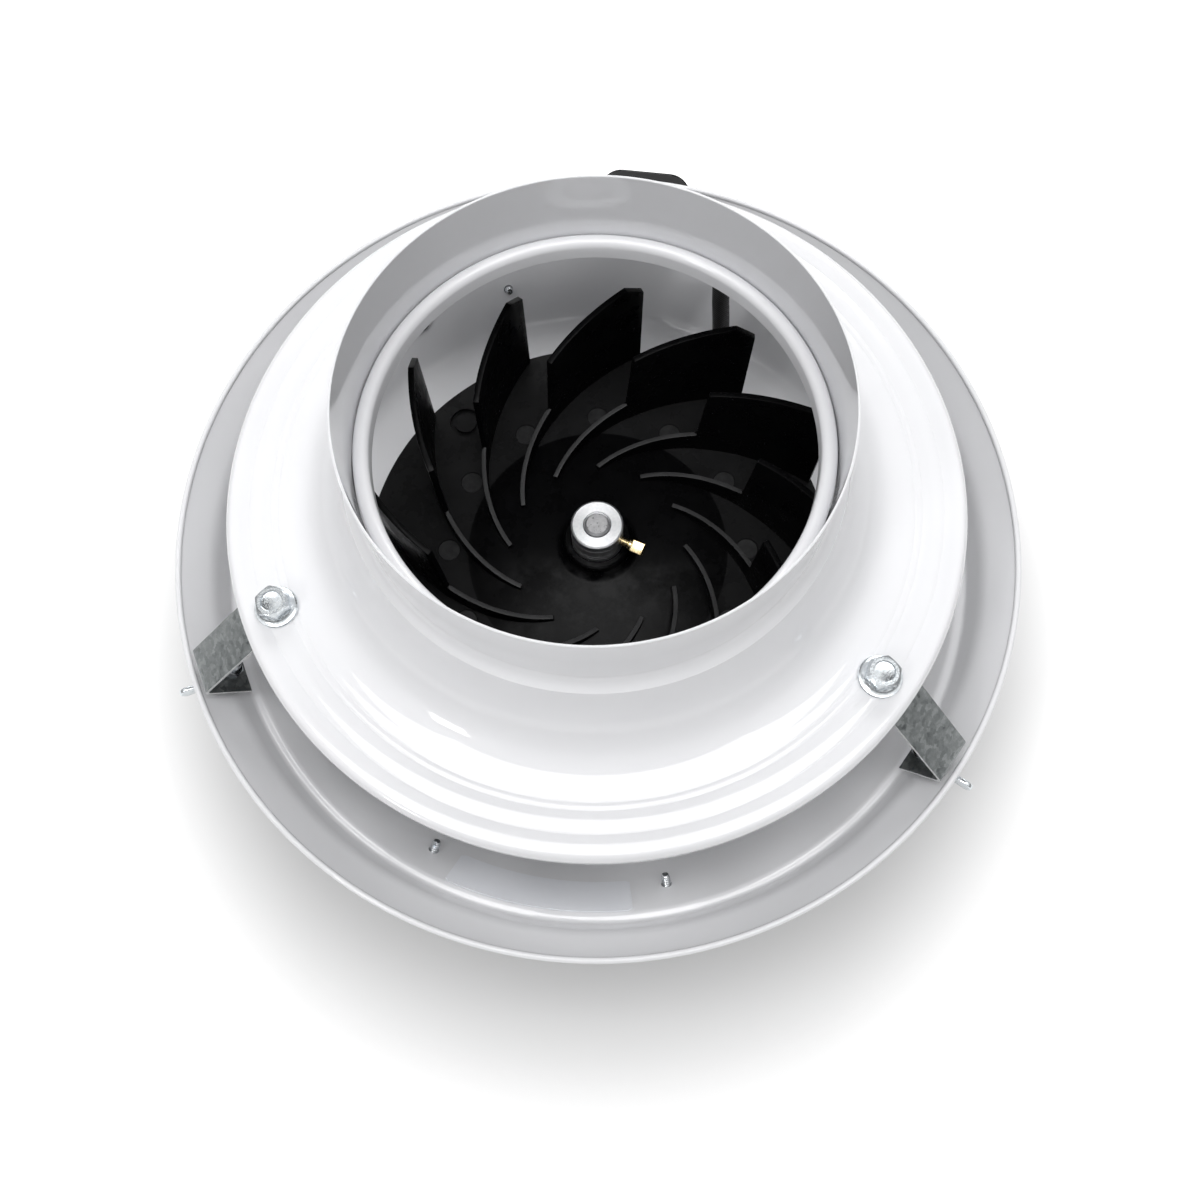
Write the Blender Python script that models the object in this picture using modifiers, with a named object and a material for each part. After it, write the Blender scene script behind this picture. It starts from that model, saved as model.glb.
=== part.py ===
"""Radial exhaust fan for a 200 mm round duct, resting on its back with the spigot pointing up.

Metres, +Z up. The origin is the centre of the flat back, and Z is the axis of the wheel and the duct.
Azimuths are measured about Z from +X towards +Y.
"""
import math

import bmesh
import bpy
from mathutils import Matrix, Vector

# Clearances and sheet gauges
GAP = 0.0003
SHEET = 0.0010
HOLE_PLAY = 0.0004
LARGE_FACETS = 48
MIDDLE_FACETS = 24
ROUND_FACETS = 16
SMALL_FACETS = 12

# Outer dish
DISH_RIM_RADIUS = 0.2012
RIM_BEAD_RADIUS = 0.0014
DISH_WALL_SLOPE = math.radians(50.3)
DISH_UPPER_LENGTH = 0.0185
DISH_STEP_RADIUS = DISH_RIM_RADIUS - 0.0212
DISH_STEP_DEPTH = 0.0292
DISH_STEP_WIDTH = 0.0042
DISH_STEP_RISE = 0.0016
DISH_FLOOR_RADIUS = DISH_RIM_RADIUS - 0.0482
DISH_DEPTH = 0.0620
FLOOR_CORNER = 0.0080
MOTOR_OPENING_RADIUS = 0.0660

# Rear cap
CAP_DEPTH = 0.0600
CAP_SKIRT_START = 0.0110
CAP_SKIRT_LENGTH = 0.0130
CAP_BELLY_RADIUS = DISH_FLOOR_RADIUS - 0.0030
CAP_BELLY_LEVEL = 0.0230
CAP_FLAT_RADIUS = CAP_BELLY_RADIUS - 0.0260
CAP_CORNER = 0.0140
CAP_SCREW_AZIMUTHS = (53.5, 107.5, 242.7, 281.0)
CAP_SCREW_RADIUS = 0.0021
CAP_SCREW_REACH = 0.0060
CAP_SCREW_HEAD_RADIUS = 0.0042
CAP_SCREW_HEAD_HEIGHT = 0.0026

# Inlet cone: spigot, trumpet and flange
SPIGOT_RADIUS = 0.0995
SPIGOT_RISE = 0.1220
SPIGOT_LENGTH = 0.0385
CONE_FOOT_RADIUS = 0.1042
CONE_FOOT_RISE = 0.0775
TRUMPET_RADIUS = 0.1360
TRUMPET_PULL_RADIUS = 0.1120
FLANGE_RISE = 0.0420
FLANGE_RADIUS = 0.1640
FLANGE_CORNER = 0.0035
FLANGE_LIP = 0.0052

# Inlet ring inside the spigot
THROAT_RADIUS = 0.0915
RING_TOP_RISE = SPIGOT_RISE - 0.0342
RING_LEG_LENGTH = 0.0100

# Straps, their bolts, pads, nuts and wing screws
BRACKET_COUNT = 3
BRACKET_AZIMUTH = 83.0
BRACKET_NAMES = ("back", "left", "right")
BOLT_CIRCLE_RADIUS = 0.1475
BOLT_RADIUS = 0.0040
BOLT_ACROSS_FLATS = 0.0130
BOLT_HEAD_HEIGHT = 0.0068
BOLT_FLANGE_RADIUS = 0.0093
BOLT_FLANGE_HEIGHT = 0.0018
BOLT_LENGTH = 0.0150
NUT_HEIGHT = 0.0080
NUT_FLANGE_RADIUS = 0.0080
STRAP_GAUGE = 0.0015
STRAP_WIDTH = 0.0215
STRAP_INNER_MARGIN = 0.0095
STRAP_OUTER_MARGIN = 0.0085
STRAP_BEND = 0.0025
STRAP_LEG_START = -0.0019
STRAP_LEG_LENGTH = 0.0240
STRAP_SCREW_DISTANCE = 0.0130
PAD_THICKNESS = 0.0055
PAD_RADIUS = 0.0075
LEG_SCREW_RADIUS = 0.0025
LEG_NUT_HEIGHT = 0.0045
LEG_NUT_ACROSS_FLATS = 0.0090
LEG_SCREW_TIP = 0.0025
WING_COLLAR_RADIUS = 0.0052
WING_COLLAR_HEIGHT = 0.0060
WING_SPAN = 0.0270
WING_HEIGHT = 0.0150
WING_GAUGE = 0.0022

# Impeller
BLADE_COUNT = 12
PLATE_RADIUS = 0.1180
PLATE_THICKNESS = 0.0025
PLATE_DROP = 0.0360
BLADE_ROOT_RADIUS = 0.0440
BLADE_STEP_RADIUS = 0.0775
BLADE_TIP_RADIUS = PLATE_RADIUS - 0.0010
BLADE_SPIRAL = 1.27
BLADE_THICKNESS = 0.0026
BLADE_ROOT_HEIGHT = 0.0058
BLADE_FOOT_HEIGHT = 0.0140
BLADE_INNER_HEIGHT = 0.0545
BLADE_OUTER_HEIGHT = 0.0648
BLADE_INNER_SLANT = 0.0020
BLADE_CLIP_REACH = 0.0060
BLADE_CLIP_DROP = 0.0070
HUB_CONE_RADIUS = 0.0660
HUB_CONE_RISE = 0.0065
HUB_BOSS_RADIUS = 0.0165
HUB_BOSS_RISE = 0.0160

# Hub collar, set screw and shaft
SHAFT_RADIUS = 0.00635
SHAFT_RISE = 0.0008
COLLAR_RADIUS = 0.0128
COLLAR_TOP_DROP = 0.0036
COLLAR_HEIGHT = 0.0340
SET_SCREW_AZIMUTH = 335.0
SET_SCREW_DROP = 0.0075
SET_SCREW_RADIUS = 0.0022
SET_SCREW_HEAD = 0.0062
SET_SCREW_HEAD_START = 0.0185
SET_SCREW_HEAD_LENGTH = 0.0065

# Motor and the plate that carries it
MOTOR_PLATE_RADIUS = 0.0800
MOTOR_PLATE_GAUGE = 0.0020
PLATE_SCREW_CIRCLE = 0.0730
PLATE_SCREW_COUNT = 3
PLATE_SCREW_RADIUS = 0.0024
SHAFT_OPENING_RADIUS = 0.0220
MOTOR_LENGTH = 0.0560
BELL_RADIUS = 0.0560
BELL_WALL = 0.0025
BELL_CORNER = 0.0060
BELL_FLANGE_RADIUS = 0.0640
BELL_FLANGE_HEIGHT = 0.0030
MOTOR_BOLT_CIRCLE = 0.0602
MOTOR_BOLT_RADIUS = 0.0020
MOTOR_BOLT_COUNT = 3
BEARING_RADIUS = 0.0160
BEARING_HEIGHT = 0.0090
BEARING_BOSS_WALL = 0.0030
STATOR_BORE_RADIUS = 0.0305
STATOR_HEIGHT = 0.0260
WINDING_INNER_RADIUS = 0.0340
WINDING_OUTER_RADIUS = 0.0500
WINDING_HEIGHT = 0.0080
SLOT_COUNT = 6
SLOT_RADIUS = 0.0024
END_RING_INNER_RADIUS = 0.0205
END_RING_HEIGHT = 0.0050
CAPACITOR_RADIUS = 0.0150
CAPACITOR_HEIGHT = 0.0450
CAPACITOR_DISTANCE = MOTOR_PLATE_RADIUS + (CAP_BELLY_RADIUS - MOTOR_PLATE_RADIUS) * 2 / 7
CAPACITOR_AZIMUTH = 200.0
CAPACITOR_STUD_RADIUS = 0.0040

# Motor cable, its grommets and the plug in the dish wall
CABLE_RADIUS = 0.0045
CABLE_AZIMUTH = 61.1
CABLE_WALL_AZIMUTH = 78.1
CABLE_FLOOR_DISTANCE = DISH_FLOOR_RADIUS - 0.0165
GROMMET_WALL = 0.0012
GROMMET_FLANGE = 0.0070
GROMMET_FLANGE_HEIGHT = 0.0015
BUSHING_LENGTH = 0.0060
MOTOR_CABLE_DROP = 0.0088
PLUG_AZIMUTH = 126.0
PLUG_DISTANCE = 0.0105
PLUG_STEM_RADIUS = 0.0038
PLUG_HEAD_RADIUS = 0.0095
PLUG_HEAD_HEIGHT = 0.0016

# Blank rating label on the lower wall of the dish
LABEL_AZIMUTHS = (247.0, 275.2)
LABEL_START = 0.0010
LABEL_LENGTH = 0.0225
LABEL_GAUGE = 0.0004

# Junction box, in the frame of the strap screw that holds it
BOX_ABOVE = 0.0120
BOX_BELOW = 0.0320
BOX_WIDTH = 0.0530
BOX_DEPTH = 0.0340
BOX_BASE = 0.0090
BOX_WALL = 0.0025
BOX_CORNER = 0.0130
BOX_BOSS_RADIUS = 0.0040
BOX_BOSS_INSET = 0.0076
GASKET_GAUGE = 0.0012
LID_GAUGE = 0.0032
LID_SCREW_RADIUS = 0.0015
LID_SCREW_LENGTH = 0.0120
TERMINAL_SIZE = (0.0120, 0.0280, 0.0110)
TERMINAL_ALONG = 0.0120
TERMINAL_COUNT = 3
TERMINAL_HOLE_RADIUS = 0.0016
GLAND_BORE_RADIUS = 0.0050
GLAND_THREAD_RADIUS = 0.0078
GLAND_HEX = 0.0190
GLAND_HEX_LENGTH = 0.0050
GLAND_NUT_LENGTH = 0.0130
GLAND_ALONG = 0.0160
GLAND_OUT = 0.0215

# Levels that follow from the sizes above
RIM_LEVEL = CAP_DEPTH + DISH_DEPTH
FLOOR_LEVEL = RIM_LEVEL - DISH_DEPTH
FLANGE_LEVEL = RIM_LEVEL + FLANGE_RISE
PLATE_LEVEL = RIM_LEVEL - PLATE_DROP
COLLAR_LEVEL = RIM_LEVEL - COLLAR_TOP_DROP
MOTOR_PLATE_LEVEL = FLOOR_LEVEL + SHEET / 2 + GAP
MOTOR_LEVEL = MOTOR_PLATE_LEVEL - GAP
MOTOR_SPLIT_LEVEL = MOTOR_LEVEL - MOTOR_LENGTH / 2
WING_SCREW_SEAT = SHEET / 2 + GAP * 1.5
PAD_SEAT = SHEET / 2 + GAP
LEG_SEAT = PAD_SEAT + PAD_THICKNESS + GAP
LEG_NUT_SEAT = LEG_SEAT + STRAP_GAUGE + GAP
LEG_SCREW_END = LEG_NUT_SEAT + LEG_NUT_HEIGHT + LEG_SCREW_TIP


def start_scene():
    """Empty the scene and make the collections for the parts and for what cuts them."""
    for item in list(bpy.data.objects):
        bpy.data.objects.remove(item)
    for name in ("exhaust_fan", "cutters"):
        group = bpy.data.collections.new(name)
        bpy.context.scene.collection.children.link(group)


def finish(name, colour, roughness, metallic=0.0):
    """A plain Principled material."""
    material = bpy.data.materials.new(name)
    material.use_nodes = True
    shader = material.node_tree.nodes["Principled BSDF"]
    shader.inputs["Base Color"].default_value = (*colour, 1.0)
    shader.inputs["Roughness"].default_value = roughness
    shader.inputs["Metallic"].default_value = metallic
    material.diffuse_color = (*colour, 1.0)
    return material


def add(name, mesh, material=None, frame=None, collection="exhaust_fan"):
    """Put a mesh into the model as a named object."""
    item = bpy.data.objects.new(name, mesh)
    bpy.data.collections[collection].objects.link(item)
    if material:
        mesh.materials.append(material)
    if frame:
        item.matrix_world = frame
    return item


def smooth(mesh):
    """Shade round faces smooth and keep the edges of flat ones."""
    mesh.shade_smooth()
    mesh.set_sharp_from_angle(angle=math.radians(35))


def arc(centre, radius, start, end, count):
    """Points of an arc in a radial plane, with angles in degrees from outwards towards up."""
    points = []
    for step in range(count + 1):
        angle = math.radians(start + (end - start) * step / count)
        points.append((centre[0] + radius * math.cos(angle), centre[1] + radius * math.sin(angle)))
    return points


def curve_between(start, pull, end, count):
    """Points of a quadratic curve from start to end that leans towards pull."""
    points = []
    for step in range(count + 1):
        t = step / count
        weights = ((1 - t) ** 2, 2 * t * (1 - t), t * t)
        points.append(tuple(sum(w * p[axis] for w, p in zip(weights, (start, pull, end))) for axis in (0, 1)))
    return points


def toward(start, end, distance):
    """The point at a distance from start on the way to end."""
    length = math.dist(start, end)
    return tuple(a + (b - a) * distance / length for a, b in zip(start, end))


def rounded(corners, cuts, count=2):
    """A path through corners, each inner one replaced by a curve that starts its cut before the corner."""
    path = [corners[0]]
    for before, corner, after, cut in zip(corners, corners[1:], corners[2:], cuts):
        if cut:
            path += curve_between(toward(corner, before, cut), corner, toward(corner, after, cut), count)
        else:
            path.append(corner)
    return path + [corners[-1]]


def offset(path, distance):
    """The path moved sideways to its left, with mitred corners."""
    moved = []
    for index, point in enumerate(path):
        before = path[max(index - 1, 0)]
        after = path[min(index + 1, len(path) - 1)]
        sides = []
        for start, end in ((before, point), (point, after)):
            if start != end:
                length = math.dist(start, end)
                sides.append(Vector(((start[1] - end[1]) / length, (end[0] - start[0]) / length)))
        side = sum(sides, Vector((0, 0))).normalized()
        reach = distance / side.dot(sides[0])
        moved.append((point[0] + side.x * reach, point[1] + side.y * reach))
    return moved


def sheet_outline(path, gauge):
    """Closed outline of a strip of sheet whose middle follows the path."""
    return offset(path, gauge / 2) + offset(path, -gauge / 2)[::-1]


def turned_mesh(name, outline, facets, closed=True):
    """A solid of revolution about Z, from an outline that runs down its outer side.

    The large ones have the middle of a facet, where they are truly flat, at each strap.
    """
    mesh = bpy.data.meshes.new(name)
    edges = [(index, index + 1) for index in range(len(outline) - 1)]
    if closed:
        edges.append((len(outline) - 1, 0))
    mesh.from_pydata([(radius, 0, level) for radius, level in outline], edges, [])
    item = add(name + "_profile", mesh)
    screw = item.modifiers.new("turn", "SCREW")
    screw.steps = facets
    screw.render_steps = facets
    screw.use_merge_vertices = True
    screw.merge_threshold = 0.00001
    mesh = baked(item)
    if facets == LARGE_FACETS:
        mesh.transform(Matrix.Rotation(math.radians(BRACKET_AZIMUTH + 180 / LARGE_FACETS), 4, "Z"))
    return mesh


def baked(item):
    """The evaluated mesh of an object, in world space; the object is removed."""
    bpy.context.view_layer.update()
    graph = bpy.context.evaluated_depsgraph_get()
    mesh = bpy.data.meshes.new_from_object(item.evaluated_get(graph))
    mesh.transform(item.matrix_world)
    bpy.data.objects.remove(item)
    smooth(mesh)
    return mesh


def turned(name, outline, material, facets=MIDDLE_FACETS, closed=True, frame=None):
    """A turned object."""
    return add(name, turned_mesh(name, outline, facets, closed), material, frame)


def ring(inner, outer, bottom, top):
    """Outline of a plain ring or, with no inner radius, of a disc."""
    return [(inner, top), (outer, top), (outer, bottom), (inner, bottom)]


def rod_mesh(name, radius, bottom, top, facets=SMALL_FACETS):
    """A closed cylinder or prism along Z."""
    shape = bmesh.new()
    middle = Matrix.Translation((0, 0, (bottom + top) / 2))
    bmesh.ops.create_cone(
        shape, cap_ends=True, segments=facets, radius1=radius, radius2=radius, depth=top - bottom, matrix=middle
    )
    mesh = bpy.data.meshes.new(name)
    shape.to_mesh(mesh)
    shape.free()
    return mesh


def hex_mesh(name, across_flats, bottom, top):
    """A hexagonal prism along Z."""
    return rod_mesh(name, across_flats / 2 / math.cos(math.pi / 6), bottom, top, 6)


def block_mesh(name, low, high, corner=0.0, steps=3):
    """A box between two corners, with its upright edges rounded."""
    shape = bmesh.new()
    size = [b - a for a, b in zip(low, high)]
    middle = [(a + b) / 2 for a, b in zip(low, high)]
    bmesh.ops.create_cube(shape, size=1.0, matrix=Matrix.Translation(middle) @ Matrix.Diagonal((*size, 1)))
    if corner:
        upright = [e for e in shape.edges if abs(e.verts[0].co.z - e.verts[1].co.z) > size[2] / 2]
        bmesh.ops.bevel(shape, geom=upright, offset=corner, segments=steps, profile=0.5, affect="EDGES")
    mesh = bpy.data.meshes.new(name)
    shape.to_mesh(mesh)
    shape.free()
    return mesh


def extruded_mesh(name, outline, width, frame):
    """A flat closed outline in the XY plane of a frame, made width thick about that plane."""
    curve = bpy.data.curves.new(name, "CURVE")
    curve.dimensions = "2D"
    curve.fill_mode = "BOTH"
    curve.extrude = width / 2
    spline = curve.splines.new("POLY")
    spline.points.add(len(outline) - 1)
    for point, place in zip(spline.points, outline):
        point.co = (*place, 0, 1)
    spline.use_cyclic_u = True
    return welded(curve, name, frame)


def welded(curve, name, frame):
    """The mesh of a curve with its loose caps joined on."""
    item = bpy.data.objects.new(name, curve)
    bpy.data.collections["exhaust_fan"].objects.link(item)
    item.matrix_world = frame
    mesh = baked(item)
    shape = bmesh.new()
    shape.from_mesh(mesh)
    bmesh.ops.remove_doubles(shape, verts=shape.verts, dist=0.00001)
    bmesh.ops.recalc_face_normals(shape, faces=shape.faces)
    shape.to_mesh(mesh)
    shape.free()
    return mesh


def united(name, meshes):
    """One mesh that is the union of several that overlap."""
    base = add(name + "_base", meshes[0])
    tools = [add(name + "_tool", mesh, collection="cutters") for mesh in meshes[1:]]
    for tool in tools:
        boolean(base, tool, "UNION")
    mesh = baked(base)
    for tool in tools:
        bpy.data.objects.remove(tool)
    return mesh


def gathered(name, mesh, frames):
    """Copies of one mesh at several frames in one mesh, for shapes that cut or are joined on."""
    shape = bmesh.new()
    for frame in frames:
        copy = mesh.copy()
        copy.transform(frame)
        shape.from_mesh(copy)
        bpy.data.meshes.remove(copy)
    whole = bpy.data.meshes.new(name)
    shape.to_mesh(whole)
    shape.free()
    smooth(whole)
    return whole


def repeated(name, labels, mesh, frames, material):
    """Objects that share one mesh, one for each label and frame."""
    mesh.materials.append(material)
    for label, frame in zip(labels, frames):
        add(f"{name}_{label}", mesh, frame=frame)


def numbers(count):
    """Labels for pieces that only differ in their place."""
    return [str(index + 1) for index in range(count)]


def boolean(item, tool, operation):
    """An exact Boolean modifier."""
    modifier = item.modifiers.new(operation.lower(), "BOOLEAN")
    modifier.operation = operation
    modifier.solver = "EXACT"
    modifier.object = tool


def cut(item, mesh, operation="DIFFERENCE"):
    """Cut an object with a mesh that is kept as a hidden cutter."""
    tool = add(item.name + "_cutter", mesh, collection="cutters")
    tool.hide_render = True
    tool.display_type = "WIRE"
    boolean(item, tool, operation)


def drill(item, radius, frames, bottom=-0.02, top=0.02, facets=SMALL_FACETS):
    """Drill the same round hole at several frames, along the Z of each."""
    cut(item, gathered(item.name + "_holes", rod_mesh("hole", radius, bottom, top, facets), frames))


def upright(azimuth, distance, level):
    """A frame at a distance from the axis whose X points outwards and whose Z points up."""
    return Matrix.Rotation(math.radians(azimuth), 4, "Z") @ Matrix.Translation((distance, 0, level))


def spread(count, distance, level, first=0.0):
    """Upright frames, evenly spread on a circle."""
    return [upright(first + 360 * index / count, distance, level) for index in range(count)]


def slope_frame(start, end, azimuth, distance):
    """A frame on a sloping wall: X runs down the wall from start, and Z points out of the dish."""
    along_r, along_z = ((b - a) / math.dist(start, end) for a, b in zip(start, end))
    place = toward(start, end, distance)
    frame = Matrix(
        (
            (along_r, 0, -along_z, place[0]),
            (0, 1, 0, 0),
            (along_z, 0, along_r, place[1]),
            (0, 0, 0, 1),
        )
    )
    frame.col[1] = (*frame.col[2].xyz.cross(frame.col[0].xyz), 0)
    return Matrix.Rotation(math.radians(azimuth), 4, "Z") @ frame


def wall_point(distance, stand_off=0.0):
    """A point of the upper wall's middle, measured from the rim bead, or off it towards the outside."""
    down = (-math.cos(DISH_WALL_SLOPE), -math.sin(DISH_WALL_SLOPE))
    centre = (DISH_RIM_RADIUS - RIM_BEAD_RADIUS, RIM_LEVEL)
    return (
        centre[0] + down[0] * distance - down[1] * stand_off,
        centre[1] + down[1] * distance + down[0] * stand_off,
    )


def upper_frame(azimuth, distance):
    """A frame on the upper wall of the dish."""
    return slope_frame(wall_point(0), wall_point(1), azimuth, distance)


def step_point():
    """Where the soft step of the dish meets its lower wall."""
    return (DISH_STEP_RADIUS, RIM_LEVEL - DISH_STEP_DEPTH)


def floor_corner():
    """Where the lower wall of the dish meets its floor."""
    return (DISH_FLOOR_RADIUS, FLOOR_LEVEL)


def lower_frame(azimuth, distance):
    """A frame on the lower wall of the dish, measured from the step."""
    return slope_frame(step_point(), floor_corner(), azimuth, distance)


def bracket_azimuths():
    """The azimuth of each strap."""
    return [BRACKET_AZIMUTH + 360 * index / BRACKET_COUNT for index in range(BRACKET_COUNT)]


def dish_path():
    """Middle of the dish sheet, from the rim bead down to the edge of the motor opening."""
    meeting = math.sqrt(RIM_BEAD_RADIUS ** 2 - (SHEET / 2) ** 2)
    shelf = (DISH_STEP_RADIUS + DISH_STEP_WIDTH, RIM_LEVEL - DISH_STEP_DEPTH + DISH_STEP_RISE)
    corners = [
        wall_point(meeting),
        wall_point(DISH_UPPER_LENGTH),
        shelf,
        step_point(),
        floor_corner(),
        (MOTOR_OPENING_RADIUS, FLOOR_LEVEL),
    ]
    return rounded(corners, (0.0030, 0, 0, FLOOR_CORNER), 1)


def rim_bead():
    """Arc of the rolled rim, from the inner face of the wall over the top to its outer face."""
    half_joint = math.degrees(math.asin(SHEET / 2 / RIM_BEAD_RADIUS))
    wall_angle = 180 + math.degrees(DISH_WALL_SLOPE)
    return arc(wall_point(0), RIM_BEAD_RADIUS, wall_angle - half_joint, wall_angle - 360 + half_joint, 7)[1:-1]


def hex_flange_bolt_mesh():
    """Hex flange bolt along Z, with the seat of its flange at zero."""
    flange = [
        (0, BOLT_FLANGE_HEIGHT * 1.6),
        (BOLT_ACROSS_FLATS / 2, BOLT_FLANGE_HEIGHT * 1.6),
        (BOLT_FLANGE_RADIUS, BOLT_FLANGE_HEIGHT * 0.6),
        (BOLT_FLANGE_RADIUS, 0),
        (BOLT_RADIUS, 0),
        (BOLT_RADIUS, -BOLT_LENGTH + BOLT_RADIUS / 4),
        (BOLT_RADIUS * 0.75, -BOLT_LENGTH),
        (0, -BOLT_LENGTH),
    ]
    body = turned_mesh("bolt_body", flange, SMALL_FACETS, closed=False)
    head = hex_mesh("bolt_head", BOLT_ACROSS_FLATS, BOLT_FLANGE_HEIGHT, BOLT_FLANGE_HEIGHT + BOLT_HEAD_HEIGHT)
    return united("bolt", [body, head])


def hex_flange_nut_mesh():
    """Hex flange nut along Z, hanging from its flange at zero, with a plain bore."""
    skirt = rod_mesh("nut_skirt", NUT_FLANGE_RADIUS, -BOLT_FLANGE_HEIGHT, 0)
    hexagon = hex_mesh("nut_hex", BOLT_ACROSS_FLATS, -NUT_HEIGHT, -BOLT_FLANGE_HEIGHT / 2)
    body = add("nut_body", united("nut", [skirt, hexagon]))
    cut(body, rod_mesh("nut_bore", BOLT_RADIUS + GAP, -NUT_HEIGHT - GAP, GAP))
    return baked(body)


def plain_nut_mesh(name, across_flats, height, bore):
    """Hex nut along Z that starts at zero and goes down."""
    body = add(name + "_body", hex_mesh(name, across_flats, -height, 0))
    cut(body, rod_mesh(name + "_bore", bore, -height - GAP, GAP))
    return baked(body)


def screw_mesh(radius, length, head_radius, head_height):
    """Round-headed screw along Z, with the seat of its head at zero."""
    outline = [
        (0, head_height),
        (head_radius * 0.7, head_height),
        (head_radius, 0),
        (radius, 0),
        (radius * 0.9, -length),
        (0, -length),
    ]
    return turned_mesh("screw", outline, SMALL_FACETS, closed=False)


def make_outer_dish(material):
    """Spun dish: rolled rim, sloping wall, soft step, lower wall and flat floor."""
    path = dish_path()
    outline = rim_bead() + sheet_outline(path, SHEET)
    dish = turned("outer_dish", outline, material, LARGE_FACETS)
    leg_hole = LEG_SCREW_RADIUS + HOLE_PLAY
    drill(dish, leg_hole, [upper_frame(azimuth, STRAP_SCREW_DISTANCE) for azimuth in bracket_azimuths()])
    drill(dish, CAP_SCREW_RADIUS + HOLE_PLAY, cap_screw_frames())
    drill(dish, PLUG_STEM_RADIUS + GAP, [lower_frame(PLUG_AZIMUTH, PLUG_DISTANCE)])
    cable_hole = CABLE_RADIUS + GAP + GROMMET_WALL + GAP
    drill(dish, cable_hole, [wall_grommet_frame(), floor_grommet_frame()], facets=ROUND_FACETS)
    drill(dish, PLATE_SCREW_RADIUS + HOLE_PLAY, plate_screw_frames(FLOOR_LEVEL))
    drill(dish, CAPACITOR_STUD_RADIUS + HOLE_PLAY, [upright(CAPACITOR_AZIMUTH, CAPACITOR_DISTANCE, FLOOR_LEVEL)])
    return dish


def cap_path():
    """Middle of the rear cap sheet, from the top of its skirt to the centre of its flat bottom."""
    lift = SHEET + GAP
    start, end = offset([step_point(), floor_corner()], lift)
    corners = [
        toward(start, end, CAP_SKIRT_START),
        toward(start, end, CAP_SKIRT_START + CAP_SKIRT_LENGTH),
        (CAP_BELLY_RADIUS, CAP_BELLY_LEVEL),
        (CAP_FLAT_RADIUS, SHEET / 2),
        (0, SHEET / 2),
    ]
    return rounded(corners, (0, CAP_CORNER, CAP_CORNER), 1)


def cap_screw_frames():
    """Frames of the screws that hold the cap, halfway down its skirt."""
    middle = CAP_SKIRT_START + CAP_SKIRT_LENGTH / 2
    return [lower_frame(azimuth, middle) for azimuth in CAP_SCREW_AZIMUTHS]


def make_rear_cap(material):
    """Spun cap that closes the motor space and carries the fan when it lies on its back."""
    path = cap_path()
    inner = offset(path, -SHEET / 2)[::-1]
    outer = offset(path, SHEET / 2)
    cap = turned("rear_cap", inner + outer, material, LARGE_FACETS, closed=False)
    drill(cap, CAP_SCREW_RADIUS + HOLE_PLAY, cap_screw_frames())
    return cap


def make_cap_screws(material):
    """Self-tapping screws through the cap's skirt and the dish wall. Their tips show inside."""
    seat = SHEET * 1.5 + GAP * 2
    mesh = screw_mesh(CAP_SCREW_RADIUS, seat + CAP_SCREW_REACH, CAP_SCREW_HEAD_RADIUS, CAP_SCREW_HEAD_HEIGHT)
    frames = [frame @ Matrix.Translation((0, 0, seat)) for frame in cap_screw_frames()]
    repeated("cap_screw", numbers(len(frames)), mesh, frames, material)


def cone_path():
    """Middle of the inlet cone sheet, from the spigot rim to the turned-down edge of the flange."""
    tube = SPIGOT_RADIUS - SHEET / 2
    rim = (tube, RIM_LEVEL + SPIGOT_RISE)
    tube_end = (tube, RIM_LEVEL + SPIGOT_RISE - SPIGOT_LENGTH)
    foot = (CONE_FOOT_RADIUS, RIM_LEVEL + CONE_FOOT_RISE)
    edge = FLANGE_RADIUS - SHEET / 2
    trumpet = curve_between(foot, (TRUMPET_PULL_RADIUS, FLANGE_LEVEL), (TRUMPET_RADIUS, FLANGE_LEVEL), 4)
    turn = curve_between(
        (edge - FLANGE_CORNER, FLANGE_LEVEL), (edge, FLANGE_LEVEL), (edge, FLANGE_LEVEL - FLANGE_CORNER), 2
    )
    neck = curve_between(tube_end, (tube, (tube_end[1] + foot[1]) / 2), foot, 2)
    return [rim] + neck + trumpet[1:] + turn + [(edge, FLANGE_LEVEL - FLANGE_LIP)]


def make_inlet_cone(material):
    """Spigot, trumpet flare and flange, spun from one sheet."""
    cone = turned("inlet_cone", sheet_outline(cone_path(), SHEET), material, LARGE_FACETS)
    drill(cone, BOLT_RADIUS + HOLE_PLAY, bolt_frames(FLANGE_LEVEL))
    return cone


def bolt_frames(level):
    """Frames on the bolt circle of the flange."""
    return [upright(azimuth, BOLT_CIRCLE_RADIUS, level) for azimuth in bracket_azimuths()]


def make_inlet_ring(material):
    """Rolled ring that narrows the spigot: an outer leg on the tube, a round top and an inner leg."""
    outer = SPIGOT_RADIUS - SHEET - GAP - SHEET / 2
    inner = THROAT_RADIUS + SHEET / 2
    centre = ((outer + inner) / 2, RIM_LEVEL + RING_TOP_RISE - (outer - inner) / 2)
    top = arc(centre, (outer - inner) / 2, 0, 180, 4)
    path = [(outer, centre[1] - RING_LEG_LENGTH * 0.6)] + top + [(inner, centre[1] - RING_LEG_LENGTH * 0.6)]
    return turned("inlet_ring", sheet_outline(path, SHEET), material, LARGE_FACETS)


def make_flange_bolts(material):
    """Bolts down through the flange and the straps."""
    frames = bolt_frames(FLANGE_LEVEL + SHEET / 2 + GAP)
    repeated("flange_bolt", BRACKET_NAMES, hex_flange_bolt_mesh(), frames, material)


def strap_level():
    """Middle of the strap where it lies under the flange."""
    return FLANGE_LEVEL - SHEET / 2 - GAP - STRAP_GAUGE / 2


def make_flange_nuts(material):
    """Nuts under the straps."""
    frames = bolt_frames(strap_level() - STRAP_GAUGE / 2 - GAP)
    repeated("flange_nut", BRACKET_NAMES, hex_flange_nut_mesh(), frames, material)


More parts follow.
